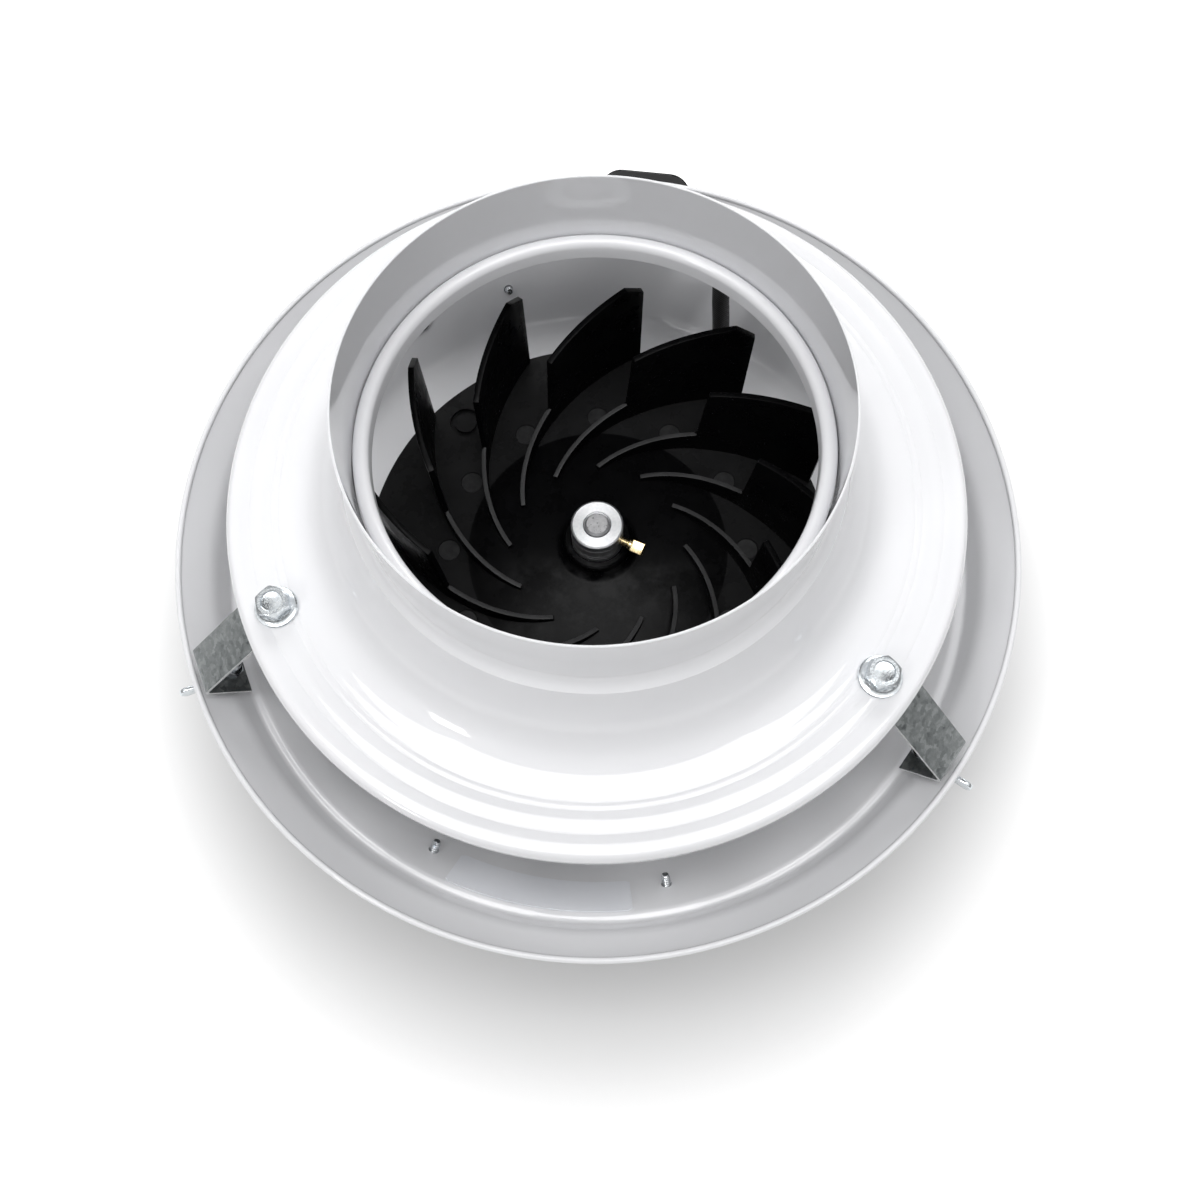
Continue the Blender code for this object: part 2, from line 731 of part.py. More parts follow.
def make_strap(name, azimuth, material):
    """Strap from the flange to the dish: flat under the bolt, sloping out to the rim, leg along the wall."""
    leg_offset = -(LEG_SEAT + STRAP_GAUGE / 2)
    corners = [
        (BOLT_CIRCLE_RADIUS - STRAP_INNER_MARGIN, strap_level()),
        (BOLT_CIRCLE_RADIUS + STRAP_OUTER_MARGIN, strap_level()),
        wall_point(STRAP_LEG_START, leg_offset),
        wall_point(STRAP_LEG_START + STRAP_LEG_LENGTH, leg_offset),
    ]
    path = rounded(corners, (STRAP_BEND, STRAP_BEND), 3)
    frame = upright(azimuth, 0, 0) @ Matrix.Rotation(math.radians(90), 4, "X")
    strap = add(name, extruded_mesh(name, sheet_outline(path, STRAP_GAUGE), STRAP_WIDTH, frame), material)
    drill(strap, BOLT_RADIUS + HOLE_PLAY, [upright(azimuth, BOLT_CIRCLE_RADIUS, strap_level())], -0.005, 0.005)
    leg_hole = LEG_SCREW_RADIUS + HOLE_PLAY
    drill(strap, leg_hole, [upper_frame(azimuth, STRAP_SCREW_DISTANCE)], -LEG_SEAT - STRAP_GAUGE * 2, 0)
    return strap


def make_strap_pads(material):
    """Round rubber spacers between the strap legs and the dish, hollowed to the wall's curve."""
    frames = [upper_frame(azimuth, STRAP_SCREW_DISTANCE) for azimuth in bracket_azimuths()]
    pad = add("pad", rod_mesh("pad", PAD_RADIUS, -LEG_SEAT + GAP, 0, ROUND_FACETS), frame=frames[0])
    wall = add("pad_wall", wall_zone_mesh("pad_wall"))
    bore = add("pad_bore", rod_mesh("pad_bore", LEG_SCREW_RADIUS + HOLE_PLAY, -0.02, 0.02), frame=frames[0])
    boolean(pad, wall, "DIFFERENCE")
    boolean(pad, bore, "DIFFERENCE")
    mesh = moved(baked(pad), frames[0].inverted())
    for tool in (wall, bore):
        bpy.data.objects.remove(tool)
    repeated("strap_pad", BRACKET_NAMES, mesh, frames, material)


def wall_zone_mesh(name):
    """Everything outside the inner face of the dish wall, with the seat gap, for shaping what sits inside."""
    inner = offset(dish_path(), -(SHEET / 2 + GAP))
    outline = inner[::-1] + [(DISH_RIM_RADIUS + 0.02, RIM_LEVEL)]
    outline += [(DISH_RIM_RADIUS + 0.02, FLOOR_LEVEL - 0.02), (inner[-1][0], FLOOR_LEVEL - 0.02)]
    return turned_mesh(name, outline, LARGE_FACETS)


def dish_body_mesh(name):
    """Everything inside the outer face of the dish, its bead too, with the seat gap, for shaping what sits outside."""
    outer = offset(dish_path(), SHEET / 2 + GAP)
    along = math.degrees(DISH_WALL_SLOPE)
    bead_end = along - 180 + math.degrees(math.asin((SHEET / 2 + GAP) / (RIM_BEAD_RADIUS + GAP)))
    bead = arc(wall_point(0), RIM_BEAD_RADIUS + GAP, along, bead_end, 5)
    outline = [(0, bead[0][1])] + bead + outer[1:] + [(0, outer[-1][1])]
    return turned_mesh(name, outline, LARGE_FACETS, closed=False)


def make_strap_nuts(material):
    """Nuts on the strap legs."""
    mesh = plain_nut_mesh("leg_nut", LEG_NUT_ACROSS_FLATS, LEG_NUT_HEIGHT, LEG_SCREW_RADIUS + HOLE_PLAY)
    lift = Matrix.Translation((0, 0, -LEG_NUT_SEAT))
    frames = [upper_frame(azimuth, STRAP_SCREW_DISTANCE) @ lift for azimuth in bracket_azimuths()]
    repeated("strap_nut", BRACKET_NAMES, mesh, frames, material)


def make_wing_screw(name, azimuth, material):
    """Wing screw from outside, through wall, pad and strap leg into the nut. It turns about its own Z."""
    shank = [
        (0, WING_COLLAR_HEIGHT),
        (WING_COLLAR_RADIUS * 0.8, WING_COLLAR_HEIGHT),
        (WING_COLLAR_RADIUS, 0),
        (LEG_SCREW_RADIUS, 0),
        (LEG_SCREW_RADIUS, -WING_SCREW_SEAT - LEG_SCREW_END),
        (0, -WING_SCREW_SEAT - LEG_SCREW_END),
    ]
    half = WING_SPAN / 2
    low = WING_COLLAR_HEIGHT * 0.35
    wings = [
        (-WING_COLLAR_RADIUS * 0.6, low),
        (WING_COLLAR_RADIUS * 0.6, low),
        (half * 0.85, WING_HEIGHT * 0.45),
        (half, WING_HEIGHT * 0.8),
        (half * 0.85, WING_HEIGHT),
        (half * 0.5, WING_HEIGHT * 0.85),
        (WING_COLLAR_RADIUS * 0.4, WING_COLLAR_HEIGHT * 0.9),
        (-WING_COLLAR_RADIUS * 0.4, WING_COLLAR_HEIGHT * 0.9),
        (-half * 0.5, WING_HEIGHT * 0.85),
        (-half * 0.85, WING_HEIGHT),
        (-half, WING_HEIGHT * 0.8),
        (-half * 0.85, WING_HEIGHT * 0.45),
    ]
    stand = Matrix.Rotation(math.radians(90), 4, "X")
    body = turned_mesh(name + "_shank", shank, SMALL_FACETS, closed=False)
    mesh = united(name, [body, extruded_mesh(name + "_wings", wings, WING_GAUGE, stand)])
    seat = Matrix.Translation((0, 0, WING_SCREW_SEAT))
    return add(name, mesh, material, upper_frame(azimuth, STRAP_SCREW_DISTANCE) @ seat)


def blade_plan():
    """Plan of one blade: a log spiral that trails the radius, given its thickness."""
    middle = []
    steps = 5
    past_tip = BLADE_TIP_RADIUS + BLADE_THICKNESS
    for step in range(steps + 1):
        radius = BLADE_ROOT_RADIUS * (past_tip / BLADE_ROOT_RADIUS) ** (step / steps)
        angle = -BLADE_SPIRAL * math.log(radius / BLADE_ROOT_RADIUS)
        middle.append((radius * math.cos(angle), radius * math.sin(angle)))
    return sheet_outline(middle, BLADE_THICKNESS)


def blade_room_mesh():
    """All the room over the blades: low ribs inside the step, tall blades outside it, clipped tips."""
    high = PLATE_LEVEL + BLADE_OUTER_HEIGHT + 0.01
    wide = PLATE_RADIUS + 0.01
    outline = [
        (0, high),
        (wide, high),
        (wide, PLATE_LEVEL - PLATE_THICKNESS / 2),
        (PLATE_RADIUS - PLATE_THICKNESS / 2, PLATE_LEVEL - PLATE_THICKNESS / 2),
        (BLADE_TIP_RADIUS, PLATE_LEVEL + BLADE_OUTER_HEIGHT - BLADE_CLIP_DROP),
        (BLADE_TIP_RADIUS - BLADE_CLIP_REACH, PLATE_LEVEL + BLADE_OUTER_HEIGHT),
        (BLADE_STEP_RADIUS + BLADE_INNER_SLANT, PLATE_LEVEL + BLADE_INNER_HEIGHT),
        (BLADE_STEP_RADIUS, PLATE_LEVEL + BLADE_FOOT_HEIGHT),
        (BLADE_ROOT_RADIUS, PLATE_LEVEL + BLADE_ROOT_HEIGHT),
        (0, PLATE_LEVEL + BLADE_ROOT_HEIGHT),
    ]
    return turned_mesh("blade_room", outline, LARGE_FACETS, closed=False)


def make_impeller(material):
    """Plastic wheel: plate, hub cone with its boss, and the blades. It turns about Z."""
    bore = COLLAR_RADIUS + GAP
    under = PLATE_LEVEL - PLATE_THICKNESS
    boss_top = PLATE_LEVEL + HUB_BOSS_RISE
    plate_outline = [
        (bore, boss_top),
        (HUB_BOSS_RADIUS, boss_top),
        (HUB_BOSS_RADIUS * 1.1, PLATE_LEVEL + HUB_CONE_RISE),
        (HUB_CONE_RADIUS, PLATE_LEVEL),
        (PLATE_RADIUS, PLATE_LEVEL),
        (PLATE_RADIUS, under),
        (HUB_CONE_RADIUS, under),
        (bore, under),
    ]
    blade_base = PLATE_LEVEL - PLATE_THICKNESS / 2
    height = BLADE_OUTER_HEIGHT + PLATE_THICKNESS
    stand = Matrix.Translation((0, 0, blade_base + height / 2))
    blade = extruded_mesh("blade", blade_plan(), height, stand)
    blades = add("blades", gathered("blades", blade, spread(BLADE_COUNT, 0, 0)))
    room = add("blade_room", blade_room_mesh(), collection="cutters")
    boolean(blades, room, "DIFFERENCE")
    plate = turned_mesh("plate", plate_outline, LARGE_FACETS)
    wheel = add("impeller", united("wheel", [plate, baked(blades)]), material)
    bpy.data.objects.remove(room)
    return wheel


def make_hub_collar(material):
    """Zinc collar on the shaft, set into the wheel's boss."""
    bottom = COLLAR_LEVEL - COLLAR_HEIGHT
    chamfer = COLLAR_RADIUS * 0.07
    outline = [
        (SHAFT_RADIUS + GAP, COLLAR_LEVEL),
        (COLLAR_RADIUS - chamfer, COLLAR_LEVEL),
        (COLLAR_RADIUS, COLLAR_LEVEL - chamfer),
        (COLLAR_RADIUS, bottom),
        (SHAFT_RADIUS + GAP, bottom),
    ]
    collar = turned("hub_collar", outline, material, MIDDLE_FACETS)
    drill(collar, SET_SCREW_RADIUS + GAP, [set_screw_frame()], 0, COLLAR_RADIUS * 2)
    return collar


def set_screw_frame():
    """Frame on the shaft axis whose Z points out along the set screw."""
    turn = Matrix.Rotation(math.radians(90), 4, "Y")
    return upright(SET_SCREW_AZIMUTH, 0, COLLAR_LEVEL - SET_SCREW_DROP) @ turn


def shaft_flat():
    """Distance from the shaft's axis to its flat."""
    return SHAFT_RADIUS * 0.86


def make_set_screw(material):
    """Brass screw with a square head, tightened on the shaft's flat."""
    head_end = SET_SCREW_HEAD_START + SET_SCREW_HEAD_LENGTH
    shank = rod_mesh("set_screw_shank", SET_SCREW_RADIUS, shaft_flat() + GAP, head_end - GAP, SMALL_FACETS)
    half = SET_SCREW_HEAD / 2
    head = block_mesh("set_screw_head", (-half, -half, SET_SCREW_HEAD_START), (half, half, head_end), half * 0.15, 1)
    return add("set_screw", united("set_screw", [head, shank]), material, set_screw_frame())


def make_motor_shaft(material):
    """Shaft through the motor and the collar, with a chamfered end and a flat for the set screw."""
    bottom = MOTOR_LEVEL - MOTOR_LENGTH + BELL_WALL / 2
    top = COLLAR_LEVEL + SHAFT_RISE
    chamfer = SHAFT_RADIUS * 0.12
    outline = [
        (0, top),
        (SHAFT_RADIUS - chamfer, top),
        (SHAFT_RADIUS, top - chamfer),
        (SHAFT_RADIUS, bottom + chamfer),
        (SHAFT_RADIUS - chamfer, bottom),
        (0, bottom),
    ]
    shaft = turned("motor_shaft", outline, material, MIDDLE_FACETS, closed=False)
    flat = block_mesh(
        "flat",
        (-SHAFT_RADIUS, -SHAFT_RADIUS, shaft_flat()),
        (COLLAR_HEIGHT * 0.8, SHAFT_RADIUS, SHAFT_RADIUS * 1.5),
    )
    flat.transform(set_screw_frame())
    cut(shaft, flat)
    return shaft


def make_rotor(material):
    """Rotor: laminated core with a cast end ring at each end."""
    low = MOTOR_SPLIT_LEVEL - STATOR_HEIGHT / 2
    high = MOTOR_SPLIT_LEVEL + STATOR_HEIGHT / 2
    radius = STATOR_BORE_RADIUS - GAP * 2
    outline = [
        (SHAFT_RADIUS + GAP, high),
        (END_RING_INNER_RADIUS, high),
        (END_RING_INNER_RADIUS, high + END_RING_HEIGHT),
        (radius, high + END_RING_HEIGHT),
        (radius, low - END_RING_HEIGHT),
        (END_RING_INNER_RADIUS, low - END_RING_HEIGHT),
        (END_RING_INNER_RADIUS, low),
        (SHAFT_RADIUS + GAP, low),
    ]
    turned("motor_rotor", outline, material)


def make_stator(core_material, winding_material):
    """Stator core, and windings whose end turns are joined by wires through the core's slots."""
    low = MOTOR_SPLIT_LEVEL - STATOR_HEIGHT / 2
    high = MOTOR_SPLIT_LEVEL + STATOR_HEIGHT / 2
    pieces = []
    for bottom in (high + GAP, low - GAP - WINDING_HEIGHT):
        top = bottom + WINDING_HEIGHT
        outline = ring(WINDING_INNER_RADIUS, WINDING_OUTER_RADIUS, bottom, top)
        pieces.append(turned_mesh("turns", outline, MIDDLE_FACETS))
    slots = spread(SLOT_COUNT, (WINDING_INNER_RADIUS + WINDING_OUTER_RADIUS) / 2, MOTOR_SPLIT_LEVEL)
    half = STATOR_HEIGHT / 2 + WINDING_HEIGHT / 2
    pieces.append(gathered("wires", rod_mesh("wire", SLOT_RADIUS, -half, half, 8), slots))
    add("stator_windings", united("stator_windings", pieces), winding_material)
    core = turned("stator_core", ring(STATOR_BORE_RADIUS, BELL_RADIUS - BELL_WALL - GAP, low, high), core_material)
    drill(core, SLOT_RADIUS + HOLE_PLAY, slots, -STATOR_HEIGHT, STATOR_HEIGHT, 8)


def bell_outline():
    """Outline of a bell whose closed face is at zero and whose open side is below."""
    split = -MOTOR_LENGTH / 2 + GAP / 2
    seat = BEARING_RADIUS + GAP
    boss = seat + BEARING_BOSS_WALL
    boss_end = -BELL_WALL - BEARING_HEIGHT
    opening = SHAFT_RADIUS + BELL_WALL
    return [
        (opening, 0),
        (BELL_RADIUS - BELL_CORNER, 0),
        (BELL_RADIUS, -BELL_CORNER),
        (BELL_RADIUS, split + BELL_FLANGE_HEIGHT),
        (BELL_FLANGE_RADIUS, split + BELL_FLANGE_HEIGHT),
        (BELL_FLANGE_RADIUS, split),
        (BELL_RADIUS - BELL_WALL, split),
        (BELL_RADIUS - BELL_WALL, -BELL_WALL - BELL_CORNER * 0.5),
        (BELL_RADIUS - BELL_CORNER - BELL_WALL * 0.5, -BELL_WALL),
        (boss, -BELL_WALL),
        (boss, boss_end),
        (seat, boss_end),
        (seat, -BELL_WALL),
        (opening, -BELL_WALL),
    ]


def make_motor_bells(material):
    """The two halves of the motor's housing, with a bearing seat in each."""
    outline = bell_outline()
    front = turned("motor_front_bell", outline, material, frame=upright(0, 0, MOTOR_LEVEL))
    flipped = [(radius, -level) for radius, level in outline][::-1]
    rear = turned("motor_rear_bell", flipped, material, frame=upright(0, 0, MOTOR_LEVEL - MOTOR_LENGTH))
    for bell in (front, rear):
        frames = motor_bolt_frames(MOTOR_SPLIT_LEVEL)
        drill(bell, MOTOR_BOLT_RADIUS + HOLE_PLAY, frames, -BELL_FLANGE_HEIGHT * 1.5, BELL_FLANGE_HEIGHT * 1.5)
    cable_hole = CABLE_RADIUS + GAP + GROMMET_WALL + GAP
    drill(front, cable_hole, [bushing_frame()], -BELL_WALL * 3, BELL_WALL * 3, ROUND_FACETS)


def motor_bolt_frames(level):
    """Frames of the long bolts that hold the two bells together and to the motor plate."""
    return spread(MOTOR_BOLT_COUNT, MOTOR_BOLT_CIRCLE, level, 20)


def make_motor_bolts(material):
    """Long bolts from the rear bell's flange up through the front one into the motor plate's threads."""
    seat = MOTOR_SPLIT_LEVEL - BELL_FLANGE_HEIGHT - GAP
    length = MOTOR_PLATE_LEVEL + MOTOR_PLATE_GAUGE + MOTOR_BOLT_RADIUS - seat
    mesh = screw_mesh(MOTOR_BOLT_RADIUS, length, MOTOR_BOLT_RADIUS * 1.7, MOTOR_BOLT_RADIUS * 1.3)
    mesh.transform(Matrix.Rotation(math.radians(180), 4, "X"))
    repeated("motor_bolt", numbers(MOTOR_BOLT_COUNT), mesh, motor_bolt_frames(seat), material)


def make_bearings(material):
    """Ball bearings, as rings, in the seats of the bells."""
    for name, top in (
        ("front_bearing", MOTOR_LEVEL - BELL_WALL - GAP),
        ("rear_bearing", MOTOR_LEVEL - MOTOR_LENGTH + BELL_WALL + GAP + BEARING_HEIGHT),
    ):
        turned(name, ring(SHAFT_RADIUS + GAP, BEARING_RADIUS, top - BEARING_HEIGHT, top), material)


def plate_screw_frames(level):
    """Frames of the screws that hold the motor plate on the dish floor."""
    return spread(PLATE_SCREW_COUNT, PLATE_SCREW_CIRCLE, level)


def make_motor_plate(material):
    """Round plate that carries the motor over the opening in the dish floor."""
    outline = ring(SHAFT_OPENING_RADIUS, MOTOR_PLATE_RADIUS, MOTOR_PLATE_LEVEL, MOTOR_PLATE_LEVEL + MOTOR_PLATE_GAUGE)
    plate = turned("motor_plate", outline, material)
    drill(plate, PLATE_SCREW_RADIUS + HOLE_PLAY, plate_screw_frames(MOTOR_PLATE_LEVEL), -0.005, 0.005)
    drill(plate, MOTOR_BOLT_RADIUS + GAP, motor_bolt_frames(MOTOR_PLATE_LEVEL), -0.005, 0.005)


def make_plate_screws(material):
    """Self-tapping screws that hold the motor plate on the dish floor."""
    length = MOTOR_PLATE_GAUGE + SHEET + PLATE_SCREW_RADIUS * 3
    mesh = screw_mesh(PLATE_SCREW_RADIUS, length, PLATE_SCREW_RADIUS * 1.9, PLATE_SCREW_RADIUS * 1.3)
    frames = plate_screw_frames(MOTOR_PLATE_LEVEL + MOTOR_PLATE_GAUGE + GAP)
    repeated("plate_screw", numbers(PLATE_SCREW_COUNT), mesh, frames, material)


def make_capacitor(case, steel):
    """Run capacitor that hangs from the dish floor by its stud, and its nut."""
    top = FLOOR_LEVEL - SHEET / 2 - GAP
    nut_height = CAPACITOR_STUD_RADIUS * 1.6
    corner = CAPACITOR_RADIUS * 0.12
    stud_top = nut_height + SHEET + GAP * 2 + CAPACITOR_STUD_RADIUS * 0.4
    outline = [
        (0, stud_top),
        (CAPACITOR_STUD_RADIUS, stud_top),
        (CAPACITOR_STUD_RADIUS, 0),
        (CAPACITOR_RADIUS - corner, 0),
        (CAPACITOR_RADIUS, -corner),
        (CAPACITOR_RADIUS, -CAPACITOR_HEIGHT + corner),
        (CAPACITOR_RADIUS - corner, -CAPACITOR_HEIGHT),
        (0, -CAPACITOR_HEIGHT),
    ]
    place = upright(CAPACITOR_AZIMUTH, CAPACITOR_DISTANCE, top)
    turned("run_capacitor", outline, case, ROUND_FACETS, closed=False, frame=place)
    nut = plain_nut_mesh("capacitor_nut", CAPACITOR_STUD_RADIUS * 3.2, nut_height, CAPACITOR_STUD_RADIUS + GAP)
    over = upright(CAPACITOR_AZIMUTH, CAPACITOR_DISTANCE, FLOOR_LEVEL + SHEET / 2 + GAP + nut_height)
    add("capacitor_nut", nut, steel, over)


def floor_grommet_frame():
    """Upright frame where the cable passes through the dish floor."""
    return upright(CABLE_AZIMUTH, CABLE_FLOOR_DISTANCE, FLOOR_LEVEL)


def wall_grommet_frame():
    """Frame where the cable passes through the dish wall beside the strap, into the junction box."""
    return upper_frame(CABLE_WALL_AZIMUTH, STRAP_SCREW_DISTANCE)


def bushing_frame():
    """Frame on the side of the front bell whose Z points outwards along the cable."""
    turn = Matrix.Rotation(math.radians(90), 4, "Y")
    return upright(CABLE_AZIMUTH, BELL_RADIUS, MOTOR_LEVEL - MOTOR_CABLE_DROP) @ turn


def cable_route():
    """Points of the motor cable, from inside the motor's bell to inside the junction box."""
    bush = bushing_frame()
    floor = floor_grommet_frame()
    wall = wall_grommet_frame()
    reach = CABLE_FLOOR_DISTANCE - BELL_RADIUS
    low = bush @ Vector((CABLE_RADIUS * 4.4, 0, reach * 0.60))
    return [
        bush @ Vector((0, 0, -BELL_WALL * 2)),
        bush @ Vector((0, 0, BUSHING_LENGTH)),
        bush @ Vector((0, 0, BUSHING_LENGTH + CABLE_RADIUS)),
        bush @ Vector((CABLE_RADIUS, 0, reach * 0.35)),
        low,
        low.lerp(floor @ Vector((0, 0, -CABLE_RADIUS * 6)), 0.6),
        floor @ Vector((-CABLE_RADIUS * 0.7, 0, -CABLE_RADIUS * 3.8)),
        floor @ Vector((0, 0, -CABLE_RADIUS * 1.3)),
        floor @ Vector((0, 0, CABLE_RADIUS * 1.3)),
        floor @ Vector((CABLE_RADIUS * 0.2, 0, DISH_DEPTH * 0.48)),
        floor @ Vector((CABLE_RADIUS * 0.9, CABLE_RADIUS * 0.9, DISH_DEPTH * 0.90)),
        floor @ Vector((CABLE_RADIUS * 2.9, CABLE_RADIUS * 2.7, DISH_DEPTH * 1.185)),
        wall @ Vector((-CABLE_RADIUS * 1.8, -CABLE_RADIUS * 2.7, -CABLE_RADIUS * 6.4)),
        wall @ Vector((-CABLE_RADIUS * 0.2, -CABLE_RADIUS * 0.3, -CABLE_RADIUS * 3.3)),
        wall @ Vector((0, 0, -CABLE_RADIUS * 1.1)),
        wall @ Vector((0, 0, BOX_BASE + CABLE_RADIUS * 1.1)),
    ]


def smooth_route(points, spacing):
    """Points at an even spacing on a smooth curve through the given ones."""
    ends = [points[0] * 2 - points[1]] + points + [points[-1] * 2 - points[-2]]
    fine = []
    for a, b, c, d in zip(ends, ends[1:], ends[2:], ends[3:]):
        for step in range(12):
            t = step / 12
            fine.append(
                (b * 2 + (c - a) * t + (a * 2 - b * 5 + c * 4 - d) * t ** 2 + (b * 3 - a - c * 3 + d) * t ** 3) / 2
            )
    fine.append(points[-1])
    total = sum((b - a).length for a, b in zip(fine, fine[1:]))
    count = round(total / spacing)
    even = [fine[0]]
    walked = 0.0
    for a, b in zip(fine, fine[1:]):
        length = (b - a).length
        while len(even) < count and walked + length >= total * len(even) / count:
            even.append(a.lerp(b, (total * len(even) / count - walked) / length))
        walked += length
    return even + [fine[-1]]


def make_motor_cable(material):
    """Sleeved cable from the motor up the inside of the dish to the junction box."""
    curve = bpy.data.curves.new("motor_cable", "CURVE")
    curve.dimensions = "3D"
    curve.bevel_depth = CABLE_RADIUS
    curve.bevel_resolution = 3
    curve.use_fill_caps = True
    points = smooth_route(cable_route(), CABLE_RADIUS * 1.8)
    spline = curve.splines.new("POLY")
    spline.points.add(len(points) - 1)
    for point, place in zip(spline.points, points):
        point.co = (*place, 1)
    return add("motor_cable", welded(curve, "motor_cable", Matrix()), material)


def make_grommets(material):
    """Rubber rings round the cable where it leaves the bell, the floor and the wall."""
    bore = CABLE_RADIUS + GAP
    outside = bore + GROMMET_WALL
    floor_half = SHEET / 2 + GAP
    floor_ring = [
        (bore, floor_half + GROMMET_FLANGE_HEIGHT),
        (GROMMET_FLANGE, floor_half + GROMMET_FLANGE_HEIGHT),
        (GROMMET_FLANGE, floor_half),
        (outside, floor_half),
        (outside, -floor_half - GROMMET_FLANGE_HEIGHT),
        (bore, -floor_half - GROMMET_FLANGE_HEIGHT),
    ]
    turned("floor_grommet", floor_ring, material, ROUND_FACETS, frame=floor_grommet_frame())
    wall_seat = -floor_half - GAP * 3
    wall_ring = [
        (bore, BOX_BASE - GAP),
        (outside, BOX_BASE - GAP),
        (outside, wall_seat),
        (GROMMET_FLANGE, wall_seat),
        (GROMMET_FLANGE, wall_seat - GROMMET_FLANGE_HEIGHT),
        (bore, wall_seat - GROMMET_FLANGE_HEIGHT),
    ]
    turned("wall_grommet", wall_ring, material, ROUND_FACETS, frame=wall_grommet_frame())
    bushing = [
        (bore, BUSHING_LENGTH),
        (outside, BUSHING_LENGTH),
        (GROMMET_FLANGE, BUSHING_LENGTH / 2),
        (GROMMET_FLANGE, GAP),
        (outside, GAP),
        (outside, -BELL_WALL - GAP),
        (bore, -BELL_WALL - GAP),
    ]
    turned("cable_bushing", bushing, material, ROUND_FACETS, frame=bushing_frame())


def make_wall_plug(material):
    """Plug in the dish wall, with its flat head inside."""
    seat = SHEET / 2 + GAP
    outline = [
        (0, SHEET / 2),
        (PLUG_STEM_RADIUS, SHEET / 2),
        (PLUG_STEM_RADIUS, -seat - GAP),
        (PLUG_HEAD_RADIUS, -seat - GAP),
        (PLUG_HEAD_RADIUS * 0.9, -seat - GAP - PLUG_HEAD_HEIGHT),
        (0, -seat - GAP - PLUG_HEAD_HEIGHT),
    ]
    turned("wall_plug", outline, material, ROUND_FACETS, closed=False, frame=lower_frame(PLUG_AZIMUTH, PLUG_DISTANCE))


def make_rating_label(material):
    """Blank label that lies on the lower wall between two of the cap screws."""
    low = SHEET / 2 + GAP
    start, end = offset([step_point(), floor_corner()], -(low + LABEL_GAUGE / 2))
    path = [toward(start, end, LABEL_START), toward(start, end, LABEL_START + LABEL_LENGTH)]
    label = turned("rating_label", sheet_outline(path, LABEL_GAUGE), material, LARGE_FACETS)
    reach = DISH_RIM_RADIUS * 1.2
    wedge = [(0, 0)]
    for azimuth in LABEL_AZIMUTHS:
        wedge.append((reach * math.cos(math.radians(azimuth)), reach * math.sin(math.radians(azimuth))))
    cut(label, extruded_mesh("wedge", wedge, RIM_LEVEL * 2, Matrix()), "INTERSECT")


def box_frame():
    """Frame of the junction box, on the axis of the back strap's screw."""
    return upper_frame(BRACKET_AZIMUTH, STRAP_SCREW_DISTANCE)


def box_corner_frames(level):
    """Frames of the lid screws, in opposite corners."""
    across = BOX_WIDTH / 2 - BOX_BOSS_INSET
    return [
        Matrix.Translation((-BOX_ABOVE + BOX_BOSS_INSET, across, level)),
        Matrix.Translation((BOX_BELOW - BOX_BOSS_INSET, -across, level)),
    ]


def box_block(name, inset, bottom, top):
    """A rounded block of the junction box's outline, drawn in by an inset."""
    low = (-BOX_ABOVE + inset, -BOX_WIDTH / 2 + inset, bottom)
    high = (BOX_BELOW - inset, BOX_WIDTH / 2 - inset, top)
    return block_mesh(name, low, high, BOX_CORNER - inset)


def gland_frame():
    """Frame on the side wall of the junction box whose Z points out along the gland."""
    turn = Matrix.Rotation(math.radians(90), 4, "X")
    return Matrix.Translation((GLAND_ALONG, -BOX_WIDTH / 2, GLAND_OUT)) @ turn


def make_junction_box(material):
    """Box body, saddle-shaped against the dish, open at its outer side."""
    shell = add("box_shell", box_block("box_shell", 0, 0, BOX_DEPTH))
    cut(shell, box_block("box_room", BOX_WALL, BOX_BASE, BOX_DEPTH + BOX_WALL))
    boss = rod_mesh("boss", BOX_BOSS_RADIUS, BOX_BASE - BOX_WALL, BOX_DEPTH - GAP, SMALL_FACETS)
    bosses = gathered("bosses", boss, box_corner_frames(0))
    body = add("junction_box", united("box", [baked(shell), bosses]), material, box_frame())
    for radius, frames, low, high in (
        (LID_SCREW_RADIUS + GAP, box_corner_frames(BOX_DEPTH), -LID_SCREW_LENGTH, BOX_WALL),
        (LEG_SCREW_RADIUS + HOLE_PLAY, [Matrix()], -BOX_BASE, BOX_BASE * 2),
    ):
        placed = [box_frame() @ frame for frame in frames]
        drill(body, radius, placed, low, high)
    drill(body, GLAND_THREAD_RADIUS + GAP, [box_frame() @ gland_frame()], -BOX_WALL * 2, BOX_WALL, ROUND_FACETS)
    cable_hole = CABLE_RADIUS + GAP + GROMMET_WALL + GAP
    drill(body, cable_hole, [wall_grommet_frame()], -BOX_BASE, BOX_BASE * 2, ROUND_FACETS)
    cut(body, dish_body_mesh("box_seat"))


def make_box_lid(plastic, rubber, steel):
    """Lid, gasket and lid screws of the junction box."""
    gasket_level = BOX_DEPTH + GAP
    lid_level = gasket_level + GASKET_GAUGE + GAP
    hole = LID_SCREW_RADIUS + GAP
    gasket = add("box_gasket", box_block("gasket", 0, gasket_level, gasket_level + GASKET_GAUGE), rubber, box_frame())
    cut(gasket, moved(box_block("gasket_room", BOX_WALL * 1.4, 0, BOX_DEPTH * 2), box_frame()))
    lid = add("box_lid", box_block("lid", 0, lid_level, lid_level + LID_GAUGE), plastic, box_frame())
    for piece in (gasket, lid):
        drill(piece, hole, [box_frame() @ frame for frame in box_corner_frames(lid_level)])
    seat = lid_level + LID_GAUGE + GAP
    screw = screw_mesh(LID_SCREW_RADIUS, LID_SCREW_LENGTH, LID_SCREW_RADIUS * 2, LID_SCREW_RADIUS * 1.2)
    frames = [box_frame() @ frame for frame in box_corner_frames(seat)]
    repeated("lid_screw", numbers(len(frames)), screw, frames, steel)


